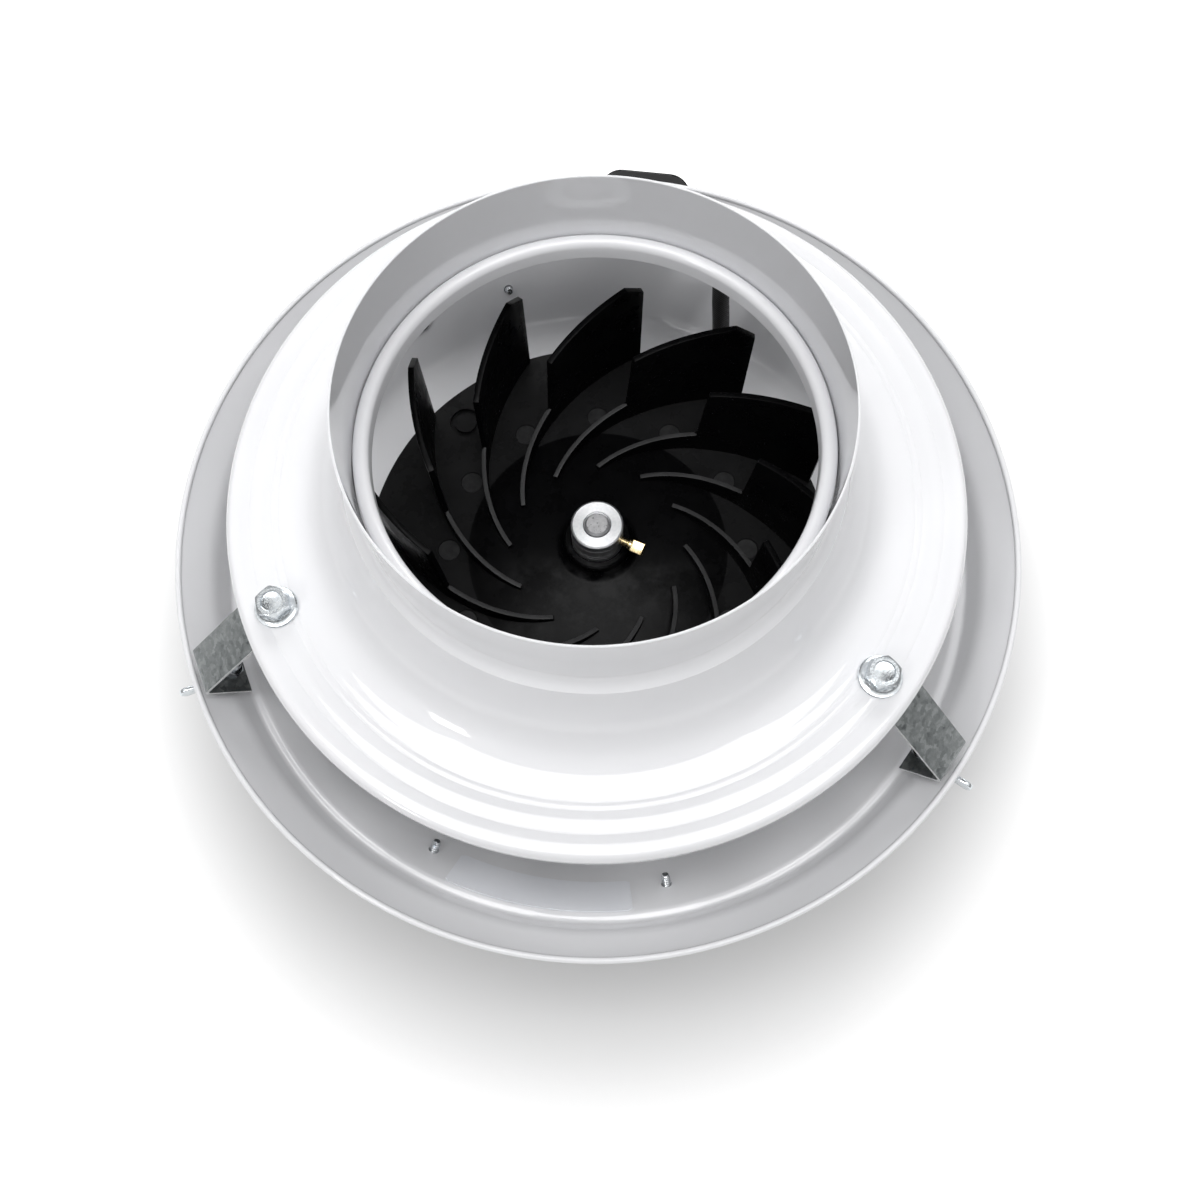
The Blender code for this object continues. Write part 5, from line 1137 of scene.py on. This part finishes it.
# %% [markdown]
# ## Screws through the cap
# Four self-tapping screws pin the cap to the dish from outside. Inside, only their tips show: a few turns of
# thread with a cutting flute. Outside is a low round head with a cross recess.

# %% Cap screws
def block(left, right, near, far):
    """The outline of a rectangle."""
    return [(left, near), (right, near), (right, far), (left, far)]


def round_head(radius, height):
    """A low domed head with a cross recess, its seat at zero."""
    dome = curve_between((0.0, height), (radius * 0.8, height), (radius, height * 0.25), 7)
    head = turned_mesh("dome", dome + [(radius, 0), (0, 0)], 40, closed=False)
    bar = block(-radius * 0.5, radius * 0.5, -radius * 0.1, radius * 0.1)
    turns = (None, Matrix.Rotation(math.pi / 2, 4, "Z"))
    return solid("DIFFERENCE", head, *(prism(bar, height * 0.45, height * 2, turn) for turn in turns))


cap_seat = SHEET * 1.5 + GAP * 2
tapping = threaded(0.0021, -cap_seat - 0.0060, 0.0004, 0.0012, 0.0012)
flute = prism(block(0.0006, 0.0040, 0.0006, 0.0040), -0.020, -cap_seat - 0.0030)
cap_screw = solid("UNION", solid("DIFFERENCE", tapping, flute), round_head(0.0042, 0.0026))
for index, azimuth in enumerate(CAP_SCREW_AZIMUTHS):
    seat = lower_frame(azimuth, CAP_SCREW_DISTANCE) @ Matrix.Translation((0, 0, cap_seat))
    spin = Matrix.Rotation(math.radians(70 * index), 4, "Z")
    name, cad_name = "tapping_screw_" + str(index + 1), "cap_screw_" + str(index + 1)
    show(name, cap_screw.copy(), tip_zinc, "zinc_plate", "housing", cad_name, place=seat @ spin)

# %% [markdown]
# ## Collar, set screw and shaft
# A turned zinc collar sits in the hub. Its top face is bright from the lathe, and two fine grooves
# run round its side. A brass screw with a square head bears on the flat of the ground shaft.

# %% Hub collar
COLLAR_TOP = 0.1184
COLLAR_RADIUS, COLLAR_LENGTH = 0.0128, 0.0340
BORE = 0.00665
SET_SCREW_AZIMUTH = 335.0
collar_outline = [(BORE, COLLAR_TOP - 0.0004), (BORE + 0.0004, COLLAR_TOP), (COLLAR_RADIUS - 0.0010, COLLAR_TOP)]
collar_outline += [(COLLAR_RADIUS - 0.0002, COLLAR_TOP - 0.0006), (COLLAR_RADIUS, COLLAR_TOP - 0.0012)]
for level in (0.0048, 0.0112, 0.0136):
    collar_outline += [
        (COLLAR_RADIUS, COLLAR_TOP - level),
        (COLLAR_RADIUS - 0.0002, COLLAR_TOP - level - 0.0002),
        (COLLAR_RADIUS, COLLAR_TOP - level - 0.0004),
    ]
collar_outline += [(COLLAR_RADIUS, COLLAR_TOP - COLLAR_LENGTH), (BORE, COLLAR_TOP - COLLAR_LENGTH)]
screw_turn = upright(SET_SCREW_AZIMUTH, 0, COLLAR_TOP - 0.0075) @ Matrix.Rotation(math.radians(90), 4, "Y")
collar = turned_mesh("collar", collar_outline, 128)
collar = solid("DIFFERENCE", collar, moved(rod(0.0025, 0, 0.0256, 32), screw_turn))
show("shaft_collar", collar, turned, "zinc_plate", "rotor", "hub_collar")

# %% [markdown]
# The set screw lies on its own axis, square to the shaft: a square head with soft corners, a neck and a
# thread that ends on the flat. The shaft is a plain turning, and the flat is milled off with a block.

# %% Set screw and shaft
SHAFT_RADIUS = 0.00635
FLAT_DISTANCE = SHAFT_RADIUS * 0.86
SQUARE_HALF, SQUARE_TURN = 0.0031, 0.35

square = block(-SQUARE_HALF, SQUARE_HALF, -SQUARE_HALF, SQUARE_HALF)
brass_head = bevelled(prism(square, 0.0185, 0.0250), 0.0005, 3, 40)
neck_outline = [(0, 0.0188), (0.0026, 0.0188), (0.0026, 0.0172), (0.0022, 0.0168), (0, 0.0168)]
brass_neck = turned_mesh("neck", neck_outline, 32, closed=False)
brass_screw = solid("UNION", brass_head, brass_neck, threaded(0.0022, FLAT_DISTANCE + GAP, 0.0190, 0.0008))
screw_place = screw_turn @ Matrix.Rotation(SQUARE_TURN, 4, "Z")
show("square_screw", brass_screw, brass, "brass", "rotor", "set_screw", place=screw_place)

shaft_low, shaft_high = (corner.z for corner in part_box("motor_shaft"))
shaft_outline = [(0, shaft_high), (0.0051, shaft_high), (SHAFT_RADIUS, shaft_high - 0.0010)]
shaft_outline += [(SHAFT_RADIUS, shaft_low + 0.0008), (0.0056, shaft_low), (0, shaft_low)]
shaft = turned_mesh("shaft", shaft_outline, 96, closed=False)
flat = prism(block(-0.0064, 0.0272, -0.0064, 0.0064), FLAT_DISTANCE, 0.0096, screw_turn)
shaft = solid("DIFFERENCE", shaft, flat)
show("ground_shaft", shaft, ground, "bright_steel", "rotor", "motor_shaft")

# %% [markdown]
# ## Motor plate and its screws
# A round plate carries the motor over the opening in the dish floor. Only its edge shows under the wheel, but
# a turned plate with real holes costs nothing.

# %% Motor plate
CARRIER_RADIUS, CARRIER_BORE = 0.0800, 0.0220
MOTOR_BOLTS, MOTOR_BOLT_CIRCLE = (20, 140, 260), 0.0602
PLATE_SCREW = 0.0024

plate_low, plate_high = (corner.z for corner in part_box("motor_plate"))
plate_outline = [(CARRIER_BORE, plate_high), (CARRIER_RADIUS - 0.0004, plate_high)]
plate_outline += [(CARRIER_RADIUS, plate_high - 0.0004), (CARRIER_RADIUS, plate_low), (CARRIER_BORE, plate_low)]
plate = turned_mesh("plate", plate_outline, 96)
plate_places = [upright(azimuth, PLATE_SCREW_CIRCLE, plate_low) for azimuth in PLATE_SCREWS]
bolt_spots = [upright(azimuth, MOTOR_BOLT_CIRCLE, plate_low) for azimuth in MOTOR_BOLTS]
plate = solid(
    "DIFFERENCE",
    plate,
    gathered("holes", rod(PLATE_HOLE, -0.005, 0.005, 24), plate_places),
    gathered("threads", rod(0.0023, -0.005, 0.005, 24), bolt_spots),
)
show("motor_carrier", plate, galvanised, "galvanised", "housing", "motor_plate")
screw_head = round_head(PLATE_SCREW * 1.9, PLATE_SCREW * 1.3)
floor_screw = solid("UNION", screw_head, threaded(PLATE_SCREW, -0.0102, 0.0004, 0.0012, 0.002))
for index, azimuth in enumerate(PLATE_SCREWS):
    seat = upright(azimuth, PLATE_SCREW_CIRCLE, plate_high + GAP)
    name, cad_name = "carrier_screw_" + str(index + 1), "plate_screw_" + str(index + 1)
    show(name, floor_screw.copy(), zinc, "zinc_plate", "housing", cad_name, place=seat)

# %% [markdown]
# ## Cable, grommets and plug
# The motor's cable comes up through a grommet in the floor, climbs the wall behind the wheel and leaves
# through a second grommet into the box outside. It is fixed wiring inside the fan and both its ends are
# inside, so it follows the same route as the CAD solid: points on a smooth curve, swept with a round.

# %% Motor cable
MOTOR_LEVEL = 0.0605
bush = upright(CABLE_FLOOR[0], 0.0560, MOTOR_LEVEL - 0.0088) @ Matrix.Rotation(math.radians(90), 4, "Y")
floor_ring = upright(*CABLE_FLOOR, FLOOR_LEVEL)
wall_ring = upper_frame(CABLE_WALL_AZIMUTH)
cable_low = bush @ Vector((0.0198, 0, 0.0483))
ROUTE = [
    bush @ Vector((0, 0, -0.0050)),
    bush @ Vector((0, 0, 0.0060)),
    bush @ Vector((0, 0, 0.0105)),
    bush @ Vector((0.0045, 0, 0.0282)),
    cable_low,
    cable_low.lerp(floor_ring @ Vector((0, 0, -0.0270)), 0.6),
    floor_ring @ Vector((-0.0032, 0, -0.0171)),
    floor_ring @ Vector((0, 0, -0.0059)),
    floor_ring @ Vector((0, 0, 0.0059)),
    floor_ring @ Vector((0.0009, 0, 0.0298)),
    floor_ring @ Vector((0.0041, 0.0041, 0.0558)),
    floor_ring @ Vector((0.0131, 0.0122, 0.0735)),
    wall_ring @ Vector((-0.0081, -0.0122, -0.0288)),
    wall_ring @ Vector((-0.0009, -0.0014, -0.0149)),
    wall_ring @ Vector((0, 0, -0.0050)),
    wall_ring @ Vector((0, 0, 0.0140)),
]


def smooth_route(points, steps=9):
    """Points on a smooth curve that passes through the given ones."""
    ends = [points[0] * 2 - points[1]] + points + [points[-1] * 2 - points[-2]]
    fine = []
    for a, b, c, d in zip(ends, ends[1:], ends[2:], ends[3:]):
        for step in range(steps):
            t = step / steps
            square_term = (a * 2 - b * 5 + c * 4 - d) * t ** 2
            cube_term = (b * 3 - a - c * 3 + d) * t ** 3
            fine.append((b * 2 + (c - a) * t + square_term + cube_term) / 2)
    return fine + [points[-1]]


def swept(name, points, radius, facets=24):
    """A closed round tube along points, its rings carried along without twisting."""
    shape = bmesh.new()
    spokes = [2 * math.pi * k / facets for k in range(facets)]
    rings = []
    across = None
    for index, point in enumerate(points):
        ahead = (points[min(index + 1, len(points) - 1)] - points[max(index - 1, 0)]).normalized()
        across = (across - ahead * across.dot(ahead)).normalized() if across else ahead.orthogonal().normalized()
        other = ahead.cross(across)
        circle = [(across * math.cos(a) + other * math.sin(a)) * radius for a in spokes]
        rings.append([shape.verts.new(point + arm) for arm in circle])
    for low, high in zip(rings, rings[1:]):
        for k in range(facets):
            shape.faces.new((low[k], low[(k + 1) % facets], high[(k + 1) % facets], high[k]))
    shape.faces.new(rings[0][::-1])
    shape.faces.new(rings[-1])
    mesh = bpy.data.meshes.new(name)
    shape.to_mesh(mesh)
    shape.free()
    return tidied(mesh)


cable_points = smooth_route(ROUTE)
cable = swept("cable", cable_points, CABLE_RADIUS)
show("sleeved_cable", cable, sleeve, "black_plastic", "housing", "motor_cable")
print("cable length:", round(1000 * sum((b - a).length for a, b in zip(cable_points, cable_points[1:]))), "mm")

# %% [markdown]
# Each grommet is a rubber ring with a lip, and the plug is a flat button that closes a spare hole. All three
# are turned, and sit on the sheet with the CAD model's small gap.

# %% Grommets and plug
LIP_RADIUS, LIP_HEIGHT = 0.0070, 0.0015

bore = CABLE_RADIUS + GAP
outside = bore + GROMMET_WALL
seat = SHEET / 2 + GAP
floor_lip = [(bore, seat + 0.0012), (bore + 0.0003, seat + LIP_HEIGHT), (LIP_RADIUS - 0.0003, seat + LIP_HEIGHT)]
floor_lip += [(LIP_RADIUS, seat + 0.0011), (LIP_RADIUS, seat), (outside, seat)]
floor_lip += [(outside, -seat - LIP_HEIGHT), (bore, -seat - LIP_HEIGHT)]
floor_grommet = moved(turned_mesh("lip", floor_lip, 64), floor_ring)
show("floor_ring", floor_grommet, rubber, "black_rubber", "housing", "floor_grommet")

wall_seat = -seat - GAP * 3
wall_lip = [(bore, 0.0087), (outside, 0.0087), (outside, wall_seat), (LIP_RADIUS, wall_seat)]
wall_lip += [(LIP_RADIUS, wall_seat - 0.0011), (LIP_RADIUS - 0.0003, wall_seat - LIP_HEIGHT)]
wall_lip += [(bore, wall_seat - LIP_HEIGHT)]
wall_grommet = moved(turned_mesh("lip", wall_lip, 64), wall_ring)
show("wall_ring", wall_grommet, rubber, "black_rubber", "housing", "wall_grommet")

plug_seat = -seat - GAP
plug = [(0, SHEET / 2), (0.0036, SHEET / 2), (0.0038, SHEET / 2 - 0.0003), (0.0038, plug_seat), (0.0095, plug_seat)]
plug += [(0.0094, plug_seat - 0.0008), (0.0086, plug_seat - 0.0016), (0.0060, plug_seat - 0.0016)]
plug += [(0.0056, plug_seat - 0.0012), (0, plug_seat - 0.0012)]
plug_button = moved(turned_mesh("plug", plug, 64, closed=False), plug_place)
show("plug_button", plug_button, box_black, "black_plastic", "housing", "wall_plug")

# %% [markdown]
# ## The label
# On the lower wall of the dish lies a silvery film label. A real one carries data about its maker, so this
# one stays blank: only the film, its thin edge and its slight waves. It is a curved strip of the wall's cone
# with round corners, laid out as a grid of points on both faces.

# %% Blank label
LABEL_GAUGE, LABEL_HEIGHT, LABEL_CORNER = 0.0004, 0.0225, 0.0016
LABEL_FROM, LABEL_TO = 247.0, 275.2
LABEL_DROP = 0.0010
STEPS, ROWS = 40, 6

label_middle = -(SHEET / 2 + GAP + LABEL_GAUGE / 2)
grid = []
for face in (-0.5, 0.5):
    line = offset([STEP_POINT, FLOOR_CORNER], label_middle + face * LABEL_GAUGE)
    for step in range(STEPS + 1):
        share = step / STEPS
        edge = min(share, 1 - share) * math.radians(LABEL_TO - LABEL_FROM) * 0.167
        bend = max(LABEL_CORNER - edge, 0)
        trim = LABEL_CORNER - math.sqrt(LABEL_CORNER ** 2 - bend ** 2)
        angle = math.radians(LABEL_FROM + (LABEL_TO - LABEL_FROM) * share)
        for row in range(ROWS + 1):
            down = LABEL_DROP + trim + (LABEL_HEIGHT - 2 * trim) * row / ROWS
            radius, level = toward(*line, down)
            grid.append((radius * math.cos(angle), radius * math.sin(angle), level))


def at(face, step, row):
    """The number of a point: face 0 is the wall side and face 1 the open side."""
    return (face * (STEPS + 1) + step) * (ROWS + 1) + row


faces = []
for step in range(STEPS):
    for row in range(ROWS):
        faces.append((at(0, step, row), at(0, step + 1, row), at(0, step + 1, row + 1), at(0, step, row + 1)))
        faces.append((at(1, step, row), at(1, step, row + 1), at(1, step + 1, row + 1), at(1, step + 1, row)))
    for row in (0, ROWS):
        faces.append((at(0, step, row), at(1, step, row), at(1, step + 1, row), at(0, step + 1, row)))
for step in (0, STEPS):
    for row in range(ROWS):
        faces.append((at(0, step, row), at(0, step, row + 1), at(1, step, row + 1), at(1, step, row)))
label = bpy.data.meshes.new("label")
label.from_pydata(grid, [], faces)
show("film_label", tidied(label), film, "blank_label", "housing", "rating_label")

# %% [markdown]
# ## The junction box
# Behind the back strap a black box sits outside the dish. In the photograph only its top edge shows over the
# spigot. It has a saddle-shaped foot that follows the dish, a lid with a raised panel, two screws and a gland
# for the supply cord. The cord itself isn't shown, so there is none. The body is a hollow block with round
# corners, and the saddle is the dish's own outer line, turned and taken off it.

# %% Junction box
BOX = upper_frame(STRAPS["back"])
BOX_ABOVE, BOX_BELOW, BOX_WIDTH, BOX_DEPTH = 0.0120, 0.0320, 0.0530, 0.0340
BOX_CORNER, BOSS_INSET, BOX_WALL, BOX_BACK = 0.0130, 0.0076, 0.0025, 0.0090
LID_THREAD = 0.0018


def rounded_box(inset, bottom, top, steps=10):
    """A block with the box's outline, drawn in by an inset."""
    low_x, high_x = -BOX_ABOVE + inset, BOX_BELOW - inset
    half, corner = BOX_WIDTH / 2 - inset, BOX_CORNER - inset
    outline = []
    for cx, cy, start in (
        (high_x - corner, half - corner, 0),
        (low_x + corner, half - corner, 90),
        (low_x + corner, -half + corner, 180),
        (high_x - corner, -half + corner, 270),
    ):
        outline += arc((cx, cy), corner, start, start + 90, steps)
    return prism(outline, bottom, top)


outer_line = offset(dish_path, SHEET / 2 + GAP)
grown = arc(wall_point(0), RIM_BEAD_RADIUS + GAP, bead_start - 180, bead_start - 339, 12)
saddle_line = [(0, grown[0][1])] + grown + outer_line[1:] + [(0, outer_line[-1][1])]
saddle = moved(turned_mesh("saddle", saddle_line, closed=False), BOX.inverted())
corner_spots = [
    Matrix.Translation((-BOX_ABOVE + BOSS_INSET, BOX_WIDTH / 2 - BOSS_INSET, 0)),
    Matrix.Translation((BOX_BELOW - BOSS_INSET, -BOX_WIDTH / 2 + BOSS_INSET, 0)),
]
gland_place = Matrix.Translation((0.0160, -BOX_WIDTH / 2, 0.0215)) @ Matrix.Rotation(math.radians(90), 4, "X")
shell = solid("DIFFERENCE", rounded_box(0, 0, BOX_DEPTH), rounded_box(BOX_WALL, BOX_BACK, BOX_DEPTH + 0.003))
shell = solid("UNION", shell, gathered("bosses", rod(0.0040, 0.0065, BOX_DEPTH - GAP, 32), corner_spots))
shell = solid(
    "DIFFERENCE",
    shell,
    gathered("lid_threads", rod(LID_THREAD, BOX_DEPTH - 0.012, BOX_DEPTH + 0.003, 24), corner_spots),
    rod(LEG_HOLE, -0.01, 0.02, 24),
    moved(rod(0.0081, -0.005, 0.0025, 40), gland_place),
    moved(rod(CABLE_HOLE, -0.01, 0.02, 40), BOX.inverted() @ wall_ring),
)
shell = solid("DIFFERENCE", shell, saddle)
show("box_body", shell, box_black, "black_plastic", "housing", "junction_box", place=BOX)

# %% [markdown]
# The lid is a flat block with a soft edge. A narrow channel inside its border gives the raised panel that
# such lids have, and two sunk screws hold it.

# %% Lid and its screws
GASKET_HEIGHT, LID_HEIGHT = 0.0012, 0.0032
lid_level = BOX_DEPTH + GAP * 2 + GASKET_HEIGHT
lid_top = lid_level + LID_HEIGHT
lid = bevelled(rounded_box(0, lid_level, lid_top), 0.0009, 3, 40)
channel_core = rounded_box(0.0042, lid_top - 0.002, lid_top + 0.004)
channel = solid("DIFFERENCE", rounded_box(0.0030, lid_top - 0.0005, lid_top + 0.002), channel_core)
lid = solid("DIFFERENCE", lid, gathered("lid_holes", rod(LID_THREAD, 0.02, 0.05, 24), corner_spots), channel)
show("lid_panel", lid, box_black, "black_plastic", "housing", "box_lid", place=BOX)
lid_screw = solid("UNION", round_head(0.0030, 0.0018), threaded(0.0015, -0.0120, 0.0003, 0.0008, 0.001))
for index, spot in enumerate(corner_spots):
    seat = BOX @ Matrix.Translation((0, 0, lid_top + GAP)) @ spot
    name, cad_name = "panel_screw_" + str(index + 1), "lid_screw_" + str(index + 1)
    show(name, lid_screw.copy(), zinc, "zinc_plate", "housing", cad_name, place=seat)

# %% [markdown]
# The gland is a threaded tube with a hexagon, and a domed nut with finger flutes round it. The flutes are
# eighteen thin rods taken off the nut.

# %% Gland
GLAND_BORE, GLAND_THREAD = 0.0050, 0.0078
GLAND_HEX, GLAND_HEX_HEIGHT, GLAND_NUT_HEIGHT = 0.0190, 0.0050, 0.0130
DOME_RADIUS = 0.0095
tube_top = GLAND_HEX_HEIGHT + GLAND_NUT_HEIGHT * 0.5
tube_outline = [(GLAND_BORE, tube_top), (GLAND_THREAD, tube_top), (GLAND_THREAD, -0.0040), (GLAND_BORE, -0.0040)]
tube = turned_mesh("gland_tube", tube_outline, 64)
gland_hex = hexagon(GLAND_HEX, GAP, GLAND_HEX_HEIGHT + GAP, True, False)
gland_hex = solid("DIFFERENCE", gland_hex, rod(GLAND_BORE + GAP, -0.02, 0.02, 64))
fitting = solid("UNION", tube, gland_hex)
show("gland_fitting", fitting, box_black, "black_plastic", "housing", "gland_body", place=BOX @ gland_place)

start = GAP * 2 + GLAND_HEX_HEIGHT
end = start + GLAND_NUT_HEIGHT
dome = [(GLAND_BORE + GAP, end), (0.0062, end)]
dome += curve_between((0.0066, end - 0.0003), (0.0088, end - 0.0018), (DOME_RADIUS, end - 0.0048), 8)
dome += [(DOME_RADIUS, start + 0.0004), (0.0091, start), (GLAND_THREAD + GAP, start)]
dome += [(GLAND_THREAD + GAP, tube_top + GAP), (GLAND_BORE + GAP, tube_top + 0.0033)]
flute_rod = moved(rod(0.0006, start - 0.001, end - 0.004, 12), Matrix.Translation((DOME_RADIUS + 0.0002, 0, 0)))
flutes = gathered("flutes", flute_rod, [upright(azimuth, 0, 0) for azimuth in range(0, 360, 20)])
cap_nut = solid("DIFFERENCE", turned_mesh("dome_nut", dome, 72), flutes)
show("gland_cap", cap_nut, box_black, "black_plastic", "housing", "gland_nut", place=BOX @ gland_place)

# %% [markdown]
# ## Floor and light
# The photograph is a product shot: white all round and a soft grey shadow below the fan. The floor is pale
# and takes the shadow. Further out a little glow lifts it to full white, but only for rays that go straight
# to the camera or that metal and glass send on, so it puts no light on the fan.
# The glow starts only some way out from the fan, so the floor close round it stays darker: a painted shadow on top
# of the lamps' own.

# %% Floor
FLOOR_HALF = 3.0
FLOOR_DROP = 0.0002
# Inside GLOW_START the floor gets no glow, which paints a shadow round the fan.
GLOW_START, GLOW_FULL, GLOW = 0.205, 0.310, 0.60

floor_mesh = bpy.data.meshes.new("floor")
corners = [(x * FLOOR_HALF, y * FLOOR_HALF, -FLOOR_DROP) for x, y in ((-1, -1), (1, -1), (1, 1), (-1, 1))]
floor_mesh.from_pydata(corners, [], [(0, 1, 2, 3)])
floor = bpy.data.objects.new("studio_floor", floor_mesh)
bpy.context.scene.collection.objects.link(floor)


def chosen_rays(holder, first, *others):
    """One where a ray is of a named kind, else zero."""
    path = node(holder, "ShaderNodeLightPath").outputs
    picked = path[first]
    for kind in others:
        picked = maths(holder, "MAXIMUM", picked, path[kind])
    return picked


paper = new_finish("floor_paper", (0.68, 0.68, 0.68), 0.9, Specular_IOR_Level=0.0, Emission_Color=(1, 1, 1, 1))
from_middle = vector_maths(paper, "LENGTH", place_in(paper))
seen_rays = chosen_rays(paper, "Is Camera Ray", "Is Glossy Ray", "Is Transmission Ray")
glow = maths(paper, "MULTIPLY", fade(paper, from_middle, GLOW_START, GLOW_FULL, GLOW), seen_rays)
feed(paper, glow, "Emission Strength")
floor_mesh.materials.append(paper)
print("floor:", 2 * FLOOR_HALF, "m wide")

# %% [markdown]
# The world is a plain white tent that lights the fan evenly. The camera sees it at full white. Metal and glass
# see it white overhead and dimmer towards the floor, as in a room, and a dark patch behind the camera gives
# the bright plating something to mirror. All of it goes by the direction in the room, so it never slides.

# %% World
TENT_LIGHT = 0.40
DARK_LIGHT = 0.03
LOW_LIGHT = 0.30
LOW_BAND = (0.42, 0.72)
DARK_CENTRE = Vector((0.0, 0.39, 0.92)).normalized()
DARK_EDGE = [math.cos(math.radians(angle)) for angle in (22, 12)]

world = bpy.data.worlds.new("tent")
bpy.context.scene.world = world
world.use_nodes = True
sky = world.node_tree.nodes["Background"]
sky.inputs["Color"].default_value = (1, 1, 1, 1)


def blend(low, high, factor):
    """A mix of two strengths in the world."""
    return node(world, "ShaderNodeMix", A=low, B=high, Factor=factor).outputs["Result"]


toward_sky = node(world, "ShaderNodeTexCoord").outputs["Generated"]
height = node(world, "ShaderNodeSeparateXYZ", Vector=toward_sky).outputs["Z"]
in_dark = fade(world, vector_maths(world, "DOT_PRODUCT", toward_sky, DARK_CENTRE), *DARK_EDGE)
seen_in_metal = blend(LOW_LIGHT, 1.0, fade(world, height, *LOW_BAND))
bright = blend(TENT_LIGHT, seen_in_metal, chosen_rays(world, "Is Glossy Ray", "Is Transmission Ray"))
dimmed = blend(bright, DARK_LIGHT, in_dark)
set_input(world, sky.inputs["Strength"], blend(dimmed, 1.0, chosen_rays(world, "Is Camera Ray")))
print("world nodes:", len(world.node_tree.nodes))

# %% [markdown]
# Two wide soft boxes do the modelling, one overhead and one behind. A small one at the front left makes the
# sharp window light on the flare.

# %% Lamps
def lamp(name, place, aim, size, power):
    """A soft box that looks at a point."""
    light = bpy.data.lights.new(name, "AREA")
    light.shape = "RECTANGLE"
    light.size, light.size_y = size
    light.energy = power
    item = bpy.data.objects.new(name, light)
    bpy.context.scene.collection.objects.link(item)
    item.location = place
    item.rotation_euler = (Vector(aim) - Vector(place)).to_track_quat("-Z", "Y").to_euler()


lamp("overhead_softbox", (0.0, -0.20, 1.70), (0, -0.20, 0), (1.4, 0.75), 14)
lamp("back_softbox", (0.10, 1.30, 1.10), (0, 0, 0.1), (1.3, 0.6), 12)
lamp("left_softbox", (-0.85, -0.83, 1.20), (0, 0, 0.15), (0.24, 0.24), 2.6)

# %% [markdown]
# ## Last settings
# Standard view transform keeps the colours as they were written.

# %% Finish
bpy.context.scene.view_settings.view_transform = "Standard"
